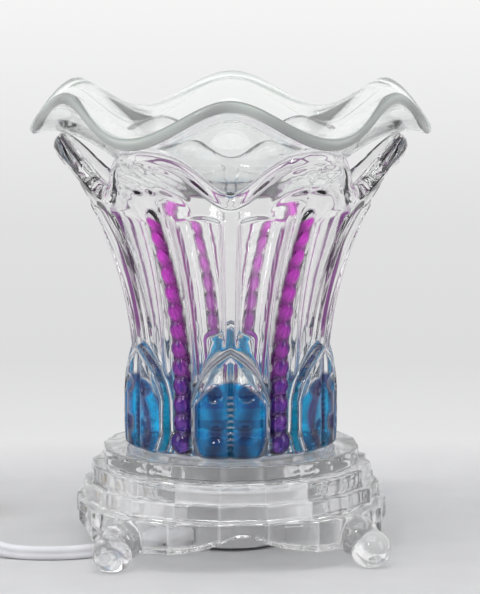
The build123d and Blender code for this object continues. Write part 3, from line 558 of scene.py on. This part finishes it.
# flutes: turns of the clear rib's edge, the thin ridge's half width and the slim flute's end
RIB_EDGE, RIDGE_HALF, SLIM_END = 2.6, 1.2, 25.4
RAMP_DEPTH, WIDE_DEPTH, SLIM_DEPTH = 2.9, 0.9, 1.1
RAMP_EDGE, RAMP_POWER, HOLLOW_POWER = 0.16, 0.85, 3.2
RAMP_FACING, RAMP_ASIDE = (0.80, 0.88), (0.868, 0.885)
WIDE_TOP, WIDE_TOP_ROUND = 124.5, 9.0
SLIM_TOP, SLIM_TOP_ROUND = 124.0, 6.0
RIDGE_TURN, RIDGE_SPREAD, RIDGE_LOW, RIDGE_SPAN = 19.2, 3.2, 72.0, 46.0
RIDGE_PROUD, RIDGE_WIDTH, RIDGE_END = 0.5, 0.9, (119.0, 122.5)

# arch panels: their face's radius, outline and relief
PANEL_RADIUS = 38.1
ARCH_HALF_WIDTH, ARCH_ARC, ARCH_CENTRE = 15.2, 28.5, (-12.65, 50.47)
BORDER_PROUD, BORDER_HALF = 0.5, 1.7
PANEL_DEPTH = 1.6
LOBE_PROUD, LOBE_HALF = 2.3, 5.9
EYE, EYE_DEPTH, EYE_RADIUS = (5.6, 60.3), 1.2, 3.3
SQUARE, SQUARE_DEPTH = (5.2, 46.2), 1.1
SEAM_PITCH, SEAM_PROUD, SEAM_SUNK, SEAM_HALF = 2.1, 0.35, 0.2, 0.9
LIP_DEPTH = 2.2

# bead columns: each bead's height, half width, half height and how proud it is
BEADS = [(41.6, 4.3, 4.6, 3.9)] + [(48.6 + 6.65 * index, 3.5, 3.9, 2.6) for index in range(12)]
COLUMN_TURN, COLUMN_LEAN, LEAN_HEIGHTS = 30.0, 2.4, (78.0, 122.0)
COLUMN_HALF, COLUMN_FOOT, COLUMN_END = 3.1, (37.0, 39.5), (121.5, 124.5)
STEM_PROUD, STEM_UNDER_BEADS = 0.8, 0.4
BEADS_SLIMMER = 0.2
OFF_COLUMN = -5.0

# the rim's peaks: how proud, how far under the edge and how wide each form is
PEAK_TURNS = (13.0, 25.0)
SWELL_PROUD, SWELL_UNDER, SWELL_WIDTH = 1.3, 3.0, 2.6
GROOVE_DEPTH, GROOVE_UNDER, GROOVE_WIDTH = 1.4, 9.5, 2.0
RIPPLE_PROUD, RIPPLE_UNDER, RIPPLE_WIDTH = 0.45, 6.0, 5.0

# stain: colours of beads from foot to top, of lines and of arches, with painted light: a painted
# highlight on the beads' crests, painted shade between them, and lines that are painted refraction
# of the bead columns
BEAD_LOW, BEAD_MID, BEAD_HIGH = np.array(
    [[0.06, 0.008, 0.26], [0.19, 0.003, 0.22], [0.52, 0.006, 0.46]]
)
BEAD_FOOT, BEAD_SPAN, BEAD_MID_SHARE = 40.0, 82.0, 0.45
# the beads' tint runs from painted shade in their gaps to a painted highlight on their crests
BEAD_GAP_SHADE, BEAD_CREST_HIGHLIGHT, BEAD_HIGHLIGHT_POWER = 0.18, 1.3, 2.4
BEAD_END = 123.6
SIDE_TURN, SIDE_STRAIGHTENS, SIDE_EDGE = 11.3, (100.0, 134.0), (1.9, 2.5)
BACK_ARCH_END, ARCH_END = 78.0, 65.5
# tints of the lines that are painted refraction of the bead columns
RIDGE_REFRACTION_TINT, SIDE_REFRACTION_TINT = np.array([[0.22, 0.010, 0.20], [0.10, 0.003, 0.12]])
TEAL, COBALT = np.array([[0.0, 0.22, 0.55], [0.0, 0.10, 0.42]])
INK, VIOLET = np.array([[0.002, 0.018, 0.13], [0.035, 0.004, 0.15]])


def rim_height(turn):
    """Height of the rim's edge: broad peaks between the sectors, dips over the arches."""
    return RIM_PEAK - RIM_DIP * ((1.0 + np.cos(np.radians(6.0 * turn))) / 2.0) ** 1.5


def flare(z):
    """Radius of the plain outer face."""
    share = np.clip((z - FOOT) / (RIM_PEAK - FOOT), 0.0, None)
    return FOOT_RADIUS + FLARE * share ** FLARE_POWER


def inside_arch(x, z):
    """Distance in from the pointed arch's outline."""
    to_arc = ARCH_ARC - np.hypot(x - ARCH_CENTRE[0], z - ARCH_CENTRE[1])
    return np.minimum(ARCH_HALF_WIDTH - x, to_arc)


def hollow(share, depth):
    """Depth of a flute with soft edges, for a share across it from 0 to 1."""
    return depth * (1.0 - np.abs(2.0 * share - 1.0) ** HOLLOW_POWER)


def square_share(at, half_width, half_height):
    """1 in an arch's square dimple, 0 away from it."""
    across, up = (at.x - SQUARE[0]) / half_width, (at.z - SQUARE[1]) / half_height
    return np.exp(-across ** 4 - up ** 4)


def outer_face(fold, z, turn):
    """What relief and stain need to know at each point; fold is the turn within its sector."""
    at = SimpleNamespace(fold=fold, z=z, turn=turn)
    at.plain = flare(z)
    at.lateral = np.abs(fold)
    at.ahead, at.right = np.cos(np.radians(turn)), np.sin(np.radians(turn))
    at.facing, at.aside = np.abs(at.ahead), np.abs(at.right)
    at.beaded = blend_step(at.facing, 0.3, 0.5)
    at.x = PANEL_RADIUS * np.sin(np.radians(at.lateral))
    at.inset = inside_arch(at.x, z)
    at.from_eye = np.hypot(at.x - EYE[0], z - EYE[1])
    at.ridge = RIDGE_TURN + RIDGE_SPREAD * (z - RIDGE_LOW) / RIDGE_SPAN
    at.ridge_away = np.radians(np.abs(at.lateral - at.ridge)) * at.plain
    from_axis = np.abs((turn + 180.0) % 360.0 - 180.0)
    from_axis = np.minimum(from_axis, 180.0 - from_axis)
    leaning = COLUMN_TURN + COLUMN_LEAN * blend_step(z, *LEAN_HEIGHTS)
    column = np.where(from_axis < 60.0, leaning, 90.0)
    at.away = np.radians(np.abs(from_axis - column)) * at.plain
    return at


def flute_depth(at):
    """Depth of the wide and the slim flutes between the clear rib, the thin ridge and the beads.

    Wide flutes of the front, the back and the sides are deepest beside the rib, which narrows
    what is seen through them.
    """
    wide = (at.lateral - RIB_EDGE) / (at.ridge - RIDGE_HALF - RIB_EDGE)
    wide = np.clip(wide, 0.0, 1.0)
    slim = (at.lateral - at.ridge - RIDGE_HALF) / (SLIM_END - at.ridge - RIDGE_HALF)
    slim = np.clip(slim, 0.0, 1.0)
    wide_top = WIDE_TOP - WIDE_TOP_ROUND * (wide - 0.5) ** 2
    slim_top = SLIM_TOP - SLIM_TOP_ROUND * (slim - 0.5) ** 2
    ramped = np.maximum(blend_step(at.facing, *RAMP_FACING), blend_step(at.aside, *RAMP_ASIDE))
    ramped = ramped * blend_step(at.z, ARCH_TOP, ARCH_TOP + 3.5)
    ramp = RAMP_DEPTH * blend_step(wide, 0.0, RAMP_EDGE) * (1.0 - wide) ** RAMP_POWER
    even = hollow(wide, WIDE_DEPTH)
    depth = (even + (ramp - even) * ramped) * (1.0 - blend_step(at.z, wide_top - 2.5, wide_top))
    depth += hollow(slim, SLIM_DEPTH) * (1.0 - blend_step(at.z, slim_top - 2.2, slim_top))
    return depth * blend_step(-at.inset, -0.4, 2.4)


def arch_face(at):
    """Arch panel over the plain flare: raised border, two lobes with a seam, eyes and squares."""
    x, z = at.x, at.z
    sunk = blend_step(at.inset, 2.4, 4.0)
    lobe = np.clip((x - LOBE_HALF) / LOBE_HALF, -1.0, 1.0)
    face = PANEL_RADIUS - at.plain
    face += BORDER_PROUD * dome(((at.inset - BORDER_HALF) / BORDER_HALF) ** 2)
    face -= sunk * PANEL_DEPTH
    face += sunk * LOBE_PROUD * dome(lobe ** 2)
    face -= sunk * EYE_DEPTH * dome((at.from_eye / EYE_RADIUS) ** 2)
    face -= sunk * SQUARE_DEPTH * square_share(at, 2.1, 2.8)
    seam = bell(x, 0.0, SEAM_HALF) * (1.0 - blend_step(z, 60.0, 63.0))
    face += seam * sunk * (SEAM_PROUD * np.cos(2.0 * np.pi * z / SEAM_PITCH) - SEAM_SUNK)
    lip = blend_step(z, FOOT - 0.1, FOOT + 3.0)
    face -= LIP_DEPTH * (1.0 - lip) ** 2
    return face


def bead_columns(at):
    """Relief of the columns, smooth at the sides, and how near each point is to a bead's crest."""
    slimmer = 1.0 - BEADS_SLIMMER * blend_step(at.z, 60.0, 122.0)
    on_column = blend_step(at.z, *COLUMN_FOOT) * (1.0 - blend_step(at.z, *COLUMN_END))
    stem_proud = STEM_PROUD + STEM_UNDER_BEADS * at.beaded
    stem = stem_proud * dome((at.away / COLUMN_HALF) ** 2) * on_column
    column = np.where(at.away < COLUMN_HALF, stem, OFF_COLUMN)
    crest = np.zeros_like(at.z)
    for height, half_width, half_height, proud in BEADS:
        from_bead = (at.away / (half_width * slimmer)) ** 2 + ((at.z - height) / half_height) ** 2
        on_bead = (from_bead < 1.0) & (at.beaded > 0.5)
        column = np.maximum(column, np.where(on_bead, proud * dome(from_bead), OFF_COLUMN))
        crest = np.maximum(crest, dome(from_bead))
    return column, crest


def body_relief(at):
    """Relief of the outer face over the plain flare, and how near each point is to a crest."""
    relief = -flute_depth(at)
    on_ridge = (1.0 - blend_step(at.z, *RIDGE_END)) * blend_step(-at.inset, 0.0, 1.0)
    relief += RIDGE_PROUD * dome((at.ridge_away / RIDGE_WIDTH) ** 2) * on_ridge
    panel = blend_step(at.inset, -0.4, 1.9)
    relief = relief * (1.0 - panel) + arch_face(at) * panel
    column, crest = bead_columns(at)
    relief = np.maximum(relief, column)

    # a swelling, a groove and ripples on the rim's peaks
    under = rim_height(at.fold) - at.z
    peak = blend_step(at.lateral, *PEAK_TURNS)
    relief += peak * SWELL_PROUD * bell(under, SWELL_UNDER, SWELL_WIDTH)
    relief -= peak * GROOVE_DEPTH * bell(under, GROOVE_UNDER, GROOVE_WIDTH)
    ripple = np.sin(np.radians(at.fold) * 34.0 + 0.5 * at.z)
    ripple *= np.sin(np.radians(at.turn) * 7.0 + 0.9 * at.z)
    relief += peak * RIPPLE_PROUD * ripple * bell(under, RIPPLE_UNDER, RIPPLE_WIDTH)
    return relief, crest


def bead_tint(z, crest):
    """Indigo at the foot, magenta at the top, with painted shade between the beads and a painted
    highlight on their crests.
    """
    rise = np.clip((z - BEAD_FOOT) / BEAD_SPAN, 0.0, 1.0)[..., None]
    low_share = rise / BEAD_MID_SHARE
    high_share = (rise - BEAD_MID_SHARE) / (1.0 - BEAD_MID_SHARE)
    tint = np.where(
        rise < BEAD_MID_SHARE,
        BEAD_LOW + (BEAD_MID - BEAD_LOW) * low_share,
        BEAD_MID + (BEAD_HIGH - BEAD_MID) * high_share,
    )
    return tint * (BEAD_GAP_SHADE + BEAD_CREST_HIGHLIGHT * crest ** BEAD_HIGHLIGHT_POWER)[..., None]


def arch_tint(at):
    """Swirls of teal and cobalt, ink pooled in eyes and squares, violet streaks at the sides;
    painted highlights on the lobes' flanks and painted shade at the seam, at the foot and over the
    right side's arches.
    """
    x, z = at.x, at.z
    side_sector, right_side = at.aside > 0.5, at.right > 0.5
    bent = x + 0.05 * (z - 50.0) ** 2 * np.where(side_sector, 0.35, 0.12)
    swirl = 0.5 + 0.5 * np.sin(0.75 * bent + 1.3 * np.sin(0.17 * z + np.radians(at.turn) * 3.0))
    tint = COBALT + (TEAL - COBALT) * swirl[..., None]
    eye = 1.0 - blend_step(at.from_eye, 2.2, 3.6)
    square = square_share(at, 1.7 + 0.16 * np.clip(z - 43.0, 0.0, 6.0), 2.7)
    pooled = np.clip(0.75 * eye + 0.95 * square, 0.0, 0.95)[..., None]
    tint = tint * (1.0 - pooled) + INK * pooled
    # the right side's arches are more violet, part of their painted shade
    violet = np.where(side_sector, np.where(right_side, 0.9, 0.6), 0.0) * bell(swirl, 0.15, 0.2)
    tint = tint * (1.0 - violet[..., None]) + VIOLET * violet[..., None]
    # painted light and shade: brighter with the swirls away from the seam, darker at the seam and
    # the foot, darker over the right side's arches
    depth = 0.55 + 0.8 * swirl * blend_step(x, 0.4, 2.2) - 0.3 * blend_step(42.0 - z, -2.0, 3.0)
    depth *= np.where(right_side, 0.75, 1.0)
    return tint * depth[..., None]


def body_stain_and_light(at, crest):
    """Colour of the stain, with its painted light and shade, painted refraction and painted glints,
    at each point and, as alpha, its share.
    """
    x, z = at.x, at.z
    bead_end = BEAD_END - 1.1 * at.away ** 1.5 / 3.0
    bead_half = 3.9 - 0.7 * blend_step(z, 50.0, 118.0)
    on_bead = at.beaded * blend_step(bead_half - at.away, 0.0, 0.5) * blend_step(z, 36.8, 38.0)
    on_bead *= 1.0 - blend_step(z, bead_end - 0.8, bead_end)
    on_bead *= 1.0 - blend_step(at.inset, 0.2, 1.0)

    # thin lines on the ridges beside the bead columns: painted refraction of the columns
    near_column = blend_step(at.aside, 0.6, 0.5)
    on_ridge = near_column * (1.0 - blend_step(at.ridge_away, 0.35, 0.75))
    on_ridge = on_ridge * (1.0 - blend_step(z, 118.5, 121.0))
    on_ridge *= blend_step(-at.inset, 0.4, 1.4)

    # a line in each side sector, near the outline: painted refraction of the bead columns
    outward = np.sign(np.sin(np.radians(2.0 * at.turn)))
    side_turn = SIDE_TURN * (1.0 - blend_step(z, *SIDE_STRAIGHTENS))
    side_away = np.radians(np.abs(at.fold - outward * side_turn)) * at.plain
    on_side = (1.0 - near_column) * (1.0 - blend_step(side_away, *SIDE_EDGE))
    on_side *= blend_step(z, 75.5, 76.5) * (1.0 - blend_step(z, 123.0, 127.0))

    # arches: the back one up to its tip, the others over the eyes; painted glints on the seam,
    # where the stain is left off in spots
    arch_end = np.where(at.ahead < -0.8, BACK_ARCH_END, ARCH_END - 0.055 * x ** 2)
    on_arch = blend_step(at.inset, 2.0, 3.0) * (1.0 - blend_step(z, arch_end - 1.6, arch_end + 0.4))
    seam_glint = bell(x, 0.0, 0.75) * blend_step(np.cos(2.0 * np.pi * z / SEAM_PITCH), 0.1, 0.7)
    seam_glint *= blend_step(z, 41.5, 43.0) * (1.0 - blend_step(z, 58.0, 60.0)) * (at.aside <= 0.5)
    on_arch *= 1.0 - 0.8 * seam_glint

    colour = np.zeros(z.shape + (4,))
    for mask, tint in (
        (on_ridge, RIDGE_REFRACTION_TINT),
        (on_side, SIDE_REFRACTION_TINT),
        (on_bead, bead_tint(z, crest)),
        (on_arch, arch_tint(at)),
    ):
        keep = mask[..., None]
        colour[..., :3] = colour[..., :3] * (1.0 - keep) + tint * keep
        colour[..., 3] = np.maximum(colour[..., 3], mask)
    return colour


body_turn = np.arange(TURNS) * 360.0 / TURNS
body_angle = np.radians(body_turn)
rim_edge = rim_height(body_turn)

# outer face from the foot up to the rim's edge
foot_heights = FOOT + np.array([0.0, 0.15, 0.45, 0.9])
lower_heights = np.concatenate([foot_heights, np.linspace(FOOT + 1.4, ARCH_TOP, LOWER_RINGS)])
lower = np.repeat(lower_heights[:, None], TURNS, axis=1)
shares = np.linspace(0.0, 1.0, UPPER_RINGS + 1)[1:]
upper = ARCH_TOP + shares[:, None] * (rim_edge[None, :] - ARCH_TOP)
outer_z = np.concatenate([lower, upper])
outer_turn = np.repeat(body_turn[None, :], len(outer_z), axis=0)
outer_fold = (outer_turn + 30.0) % 60.0 - 30.0
outer = outer_face(outer_fold, outer_z, outer_turn)
relief, crest = body_relief(outer)
foot_drop = np.clip(FOOT_ROUND - (outer_z - FOOT), 0.0, None)
foot_in = FOOT_ROUND - np.sqrt(np.clip(FOOT_ROUND ** 2 - foot_drop ** 2, 0.0, None))
outer_r = outer.plain + relief - foot_in
rings = [ring_points(body_angle, radius, height) for radius, height in zip(outer_r, outer_z)]

# round rim, inner face and floor with the lamp housing's hole
edge_r = outer_r[-1]
inner_edge = flare(rim_edge) - WALL
for step in range(1, RIM_RINGS):
    roll = math.pi * step / RIM_RINGS
    share = (1.0 - math.cos(roll)) / 2.0
    radius = edge_r + (inner_edge - edge_r) * share
    rings.append(ring_points(body_angle, radius, rim_edge + RIM_ROUND * math.sin(roll)))
for step in range(INNER_RINGS):
    height = rim_edge + (INNER_FOOT - rim_edge) * step / (INNER_RINGS - 1)
    rings.append(ring_points(body_angle, flare(height) - WALL, height))
for radius, height in FLOOR_PROFILE:
    rings.append(ring_points(body_angle, radius, height))
body_mesh = grid_mesh("glass_body_visual", np.array(rings), True)
body_colours = np.zeros((len(rings), TURNS, 4))
body_colours[: len(outer_z)] = body_stain_and_light(outer, crest)
paint(body_mesh, "stain_and_light", body_colours)
body_piece = new_piece("glass_body_visual", body_mesh, stained_glass(), "warmer")
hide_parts("glass_body")


# ---------------------------------------------------------------- glass dish
# Lengths are in mm. Six waves: low over the rim's peaks, which carry the dish, high over its dips.
DISH_TURNS = 360
DISH_FLOOR = 131.55
DISH_THICK = 4.5
DISH_FLAT = 15.0
DISH_EDGE, DISH_EDGE_WAVE = 67.3, 2.3
DISH_RISE, DISH_WAVE = 27.0, 6.5
EDGE_PROUD = 1.8
SIDE_RINGS, EDGE_RINGS = 46, 12
FLOOR_RADII = (0.6, 3.0, 6.0, 9.0, 12.0)
# edge colours: a painted highlight below, the pale band, and a painted shade line on top
EDGE_HIGHLIGHT, EDGE_BAND, EDGE_SHADE_LINE = np.array(
    [[0.97, 0.98, 0.97], [0.80, 0.86, 0.825], [0.36, 0.42, 0.39]]
)

dish_angle = np.radians(np.arange(DISH_TURNS) * 360.0 / DISH_TURNS)
dish_wave = np.cos(6.0 * dish_angle)
dish_edge = DISH_EDGE - DISH_EDGE_WAVE * dish_wave


def dish_top(share):
    """Height of the upper face, for a share of the way from the flat floor to the edge."""
    rise = DISH_RISE * (1.0 - np.cos(np.pi * share)) / 2.0 + DISH_WAVE * share ** 3 * dish_wave
    return DISH_FLOOR + rise


def dish_side(share, drop):
    """Ring on the dish's side, dropped below the upper face."""
    radius = DISH_FLAT + share * (dish_edge - DISH_FLAT)
    return ring_points(dish_angle, radius, dish_top(share) - drop)


dish_rings = [ring_points(dish_angle, radius, DISH_FLOOR - DISH_THICK) for radius in FLOOR_RADII]
dish_rings += [dish_side(share, DISH_THICK) for share in np.linspace(0.0, 1.0, SIDE_RINGS)]
for step in range(1, EDGE_RINGS):
    roll = math.pi * step / EDGE_RINGS
    height = dish_top(1.0) - DISH_THICK / 2 - DISH_THICK / 2 * math.cos(roll)
    dish_rings.append(ring_points(dish_angle, dish_edge + EDGE_PROUD * math.sin(roll), height))
dish_rings += [dish_side(share, 0.0) for share in np.linspace(1.0, 0.0, SIDE_RINGS)]
dish_rings += [ring_points(dish_angle, radius, DISH_FLOOR) for radius in reversed(FLOOR_RADII)]
dish_rings = np.array(dish_rings)
dish_mesh = grid_mesh("melt_dish_visual", dish_rings, False)
cap_ends(dish_mesh, DISH_TURNS)

# the edge is whitish below, a painted highlight, has a pale band and a darker line on top, painted
# shade
past_edge = np.hypot(dish_rings[..., 0], dish_rings[..., 1]) - dish_edge[None, :]
edge_share = blend_step(past_edge, -0.6, 0.9)
edge_share *= 0.8 + 0.2 * np.sin(9.0 * dish_angle + 2.0 * np.sin(5.0 * dish_angle))[None, :]
edge_height = dish_rings[..., 2] - (dish_top(1.0) - DISH_THICK)[None, :]
edge_colour = EDGE_HIGHLIGHT + (EDGE_BAND - EDGE_HIGHLIGHT) * blend_step(edge_height, 0.5, 1.5)[..., None]
edge_colour += (EDGE_SHADE_LINE - edge_colour) * blend_step(edge_height, 3.6, 4.2)[..., None]
paint(dish_mesh, "edge", np.concatenate([edge_colour, edge_share[..., None]], axis=-1))
dish_piece = new_piece("melt_dish_visual", dish_mesh, dish_glass(), "dish")
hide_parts("melt_dish")


# ---------------------------------------------------------------- glass base
# Lengths are in metres, as the mesh is a copy of the CAD node's, and the rows' heights in mm.
# Turns are in degrees from the x axis.
VOXEL = 0.00055
SMOOTH_PASSES = 3
FACET_TURN, FACET_START = 18.0, 5.0
FACET_SUNK = 0.0007
ROW_FOOT, ROW_PITCH = 17.4, 6.2
FOOT_TURNS = (50.0, 140.0, 230.0, 320.0)
FOOT_CIRCLE = 0.0565


def softened(node, name):
    """Closed copy of a CAD node with its edges melted round, as pressed glass has them."""
    source = bpy.data.objects.new("source", frame["nodes"][node].data.copy())
    scene.collection.objects.link(source)
    remesh = source.modifiers.new("remesh", "REMESH")
    remesh.mode = "VOXEL"
    remesh.voxel_size = VOXEL
    smooth = source.modifiers.new("smooth", "SMOOTH")
    smooth.factor = 0.5
    smooth.iterations = SMOOTH_PASSES
    seen = source.evaluated_get(bpy.context.evaluated_depsgraph_get())
    made = bpy.data.meshes.new_from_object(seen)
    spare = source.data
    bpy.data.objects.remove(source)
    bpy.data.meshes.remove(spare)
    made.name = name
    made.materials.clear()
    made.shade_smooth()
    return made


base_mesh = softened("glass_base", "glass_base_visual")
places = np.zeros(len(base_mesh.vertices) * 3, dtype=np.float32)
base_mesh.vertices.foreach_get("co", places)
places = places.reshape(-1, 3)
base_z = places[:, 2]
out = np.hypot(places[:, 0], places[:, 1])
facet = (np.degrees(np.arctan2(places[:, 1], places[:, 0])) - FACET_START + 90.0) / FACET_TURN
in_facet = np.abs(facet - np.round(facet)) * 2.0

# each facet of the outer wall is slightly hollow
on_wall = blend_step(out, 0.0455, 0.0465) * blend_step(base_z, 0.0005, 0.002)
on_wall *= 1.0 - blend_step(out, 0.0575, 0.0595)
sunk = FACET_SUNK * on_wall * (1.0 - in_facet ** 2)
places[:, :2] *= (1.0 - sunk / np.maximum(out, 0.001))[:, None]
base_mesh.vertices.foreach_set("co", places.reshape(-1))
base_mesh.update()

# painted light and shade: facets differ in painted shade and milkiness, standing in for what each
# facet reflects; their edges are milky as painted highlight lines, and the feet's ankles are milky,
# painted light over their dark refraction
facet_edge = blend_step(in_facet, 0.90, 0.99) * on_wall
tile = np.round(facet) + 2.3 * np.floor((base_z * 1000.0 - ROW_FOOT) / ROW_PITCH)
chance = np.sin(12.9898 * tile + 4.1 * np.sin(78.233 * tile))
on_row = on_wall * blend_step(base_z, 0.0165, 0.0185)
painted_light = np.maximum(0.8 * facet_edge, 0.7 * blend_step(chance, -0.3, 0.4) * on_row)
for turn in FOOT_TURNS:
    foot_x = math.cos(math.radians(turn)) * FOOT_CIRCLE
    foot_y = math.sin(math.radians(turn)) * FOOT_CIRCLE
    near = 1.0 - blend_step(np.hypot(places[:, 0] - foot_x, places[:, 1] - foot_y), 0.0075, 0.0105)
    painted_light = np.maximum(painted_light, 0.4 * near * (1.0 - blend_step(base_z, 0.0165, 0.0195)))
shade = 0.88 + 0.07 * on_row + (0.10 - 0.05 * on_row) * chance
shade = 1.0 - (1.0 - shade) * on_wall * blend_step(base_z, 0.006, 0.008)
paint(base_mesh, "painted_light", np.stack([painted_light, shade, shade, np.ones(len(places))], axis=-1))
base_piece = new_piece("glass_base_visual", base_mesh, base_glass(), "warmer")
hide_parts("glass_base")


# ---------------------------------------------------------------- floor, backdrop and light
SWEEP_HALF = 2.2
SWEEP_START, SWEEP_ROUND, SWEEP_STEPS = 0.105, 0.03, 12
GLOW_HEIGHT = 0.2
UPRIGHT_HEIGHT = 0.012
GLOW_STOPS = (
    (0.0, (0.74, 0.74, 0.75)),
    (0.05, (0.79, 0.79, 0.795)),
    (0.22, (0.72, 0.72, 0.725)),
    (0.5, (0.75, 0.75, 0.755)),
    (0.75, (0.85, 0.85, 0.855)),
    (1.0, (0.94, 0.94, 0.935)),
)


def stage_sweep():
    """Floor that curves up into a backdrop behind the object."""
    line = [(-2.2, 0.0), (-1.0, 0.0), (-0.4, 0.0), (0.0, 0.0), (SWEEP_START, 0.0)]
    for step in range(1, SWEEP_STEPS + 1):
        turn = math.pi / 2 * step / SWEEP_STEPS
        rise = SWEEP_ROUND * (1.0 - math.cos(turn))
        line.append((SWEEP_START + SWEEP_ROUND * math.sin(turn), rise))
    line += [(SWEEP_START + SWEEP_ROUND, height) for height in (0.3, 0.8, 2.0)]
    mesh = bpy.data.meshes.new("sweep")
    points = [(x, y, z) for y, z in line for x in (-SWEEP_HALF, SWEEP_HALF)]
    faces = [(2 * i, 2 * i + 1, 2 * i + 3, 2 * i + 2) for i in range(len(line) - 1)]
    mesh.from_pydata(points, [], faces)
    mesh.shade_smooth()
    made = bpy.data.objects.new("sweep", mesh)
    scene.collection.objects.link(made)
    return made


def backdrop_paper():
    """Diffuse paper; its upright part glows in a pale gradient, painted light that is brightest at
    the top, also in and through glass.
    """
    material, tree, shader = new_material("studio_paper")
    shader.inputs["Roughness"].default_value = 0.9
    shader.inputs["Specular IOR Level"].default_value = 0.1
    paper = tone(tree, object_noise(tree, 40.0, 3.0), (0.57, 0.57, 0.575), (0.60, 0.60, 0.605))
    tree.links.new(paper, shader.inputs["Base Color"])

    place = tree.nodes.new("ShaderNodeTexCoord")
    split = tree.nodes.new("ShaderNodeSeparateXYZ")
    tree.links.new(place.outputs["Object"], split.inputs["Vector"])
    height = split.outputs["Z"]
    glow = tree.nodes.new("ShaderNodeEmission")
    gradient = colour_ramp(tree, map_range(tree, height, from_high=GLOW_HEIGHT), GLOW_STOPS)
    tree.links.new(gradient, glow.inputs["Color"])
    path = tree.nodes.new("ShaderNodeLightPath").outputs
    seen = path["Is Camera Ray"]
    for name in ("Is Glossy Ray", "Is Transmission Ray"):
        seen = math_node(tree, "MAXIMUM", seen, path[name])
    upright = map_range(tree, height, from_high=UPRIGHT_HEIGHT)
    glowing = math_node(tree, "MULTIPLY", seen, upright)
    front = mix_shaders(tree, glowing, shader.outputs["BSDF"], glow.outputs["Emission"])

    # the paper's back is not seen, so that the object shows from behind too
    side = tree.nodes.new("ShaderNodeNewGeometry")
    behind = math_node(tree, "MULTIPLY", side.outputs["Backfacing"], path["Is Camera Ray"])
    unseen = tree.nodes.new("ShaderNodeBsdfTransparent")
    surface = mix_shaders(tree, behind, front, unseen.outputs["BSDF"])
    tree.links.new(surface, tree.nodes["Material Output"].inputs["Surface"])
    return material


sweep = stage_sweep()
sweep.data.materials.append(backdrop_paper())


def soft_box(name, place, target, width, height, power):
    data = bpy.data.lights.new(name, "AREA")
    data.shape = "RECTANGLE"
    data.size = width
    data.size_y = height
    data.energy = power
    lamp = bpy.data.objects.new(name, data)
    lamp.location = place
    lamp.rotation_euler = (Vector(target) - Vector(place)).to_track_quat("-Z", "Y").to_euler()
    scene.collection.objects.link(lamp)


MIDDLE = (0.0, 0.0, 0.08)
soft_box("top_box", (0.0, -0.35, 1.25), (0.0, 0.0, 0.05), width=1.2, height=1.0, power=8.0)
soft_box("left_box", (-1.0, -0.55, 0.55), MIDDLE, width=0.6, height=0.8, power=4.0)
soft_box("right_box", (1.0, -0.45, 0.5), MIDDLE, width=0.5, height=0.8, power=2.8)
soft_box("glint_box", (-0.35, -1.0, 0.85), MIDDLE, width=0.14, height=0.14, power=2.4)

FRONT_LIMITS = (-0.92, -0.55)
WORLD_STOPS = ((0.0, (0.80, 0.80, 0.82)), (1.0, (0.85, 0.85, 0.86)))
WORLD_STRENGTH = 0.55


def studio_world():
    """Even pale light from all round, a little darker from the front."""
    world = bpy.data.worlds.new("studio")
    world.use_nodes = True
    tree = world.node_tree
    sky = tree.nodes["Background"]
    place = tree.nodes.new("ShaderNodeTexCoord")
    split = tree.nodes.new("ShaderNodeSeparateXYZ")
    tree.links.new(place.outputs["Generated"], split.inputs["Vector"])
    from_front = map_range(tree, split.outputs["Y"], 0.0, 1.0, *FRONT_LIMITS)
    tree.links.new(colour_ramp(tree, from_front, WORLD_STOPS), sky.inputs["Color"])
    sky.inputs["Strength"].default_value = WORLD_STRENGTH
    return world


scene.world = studio_world()
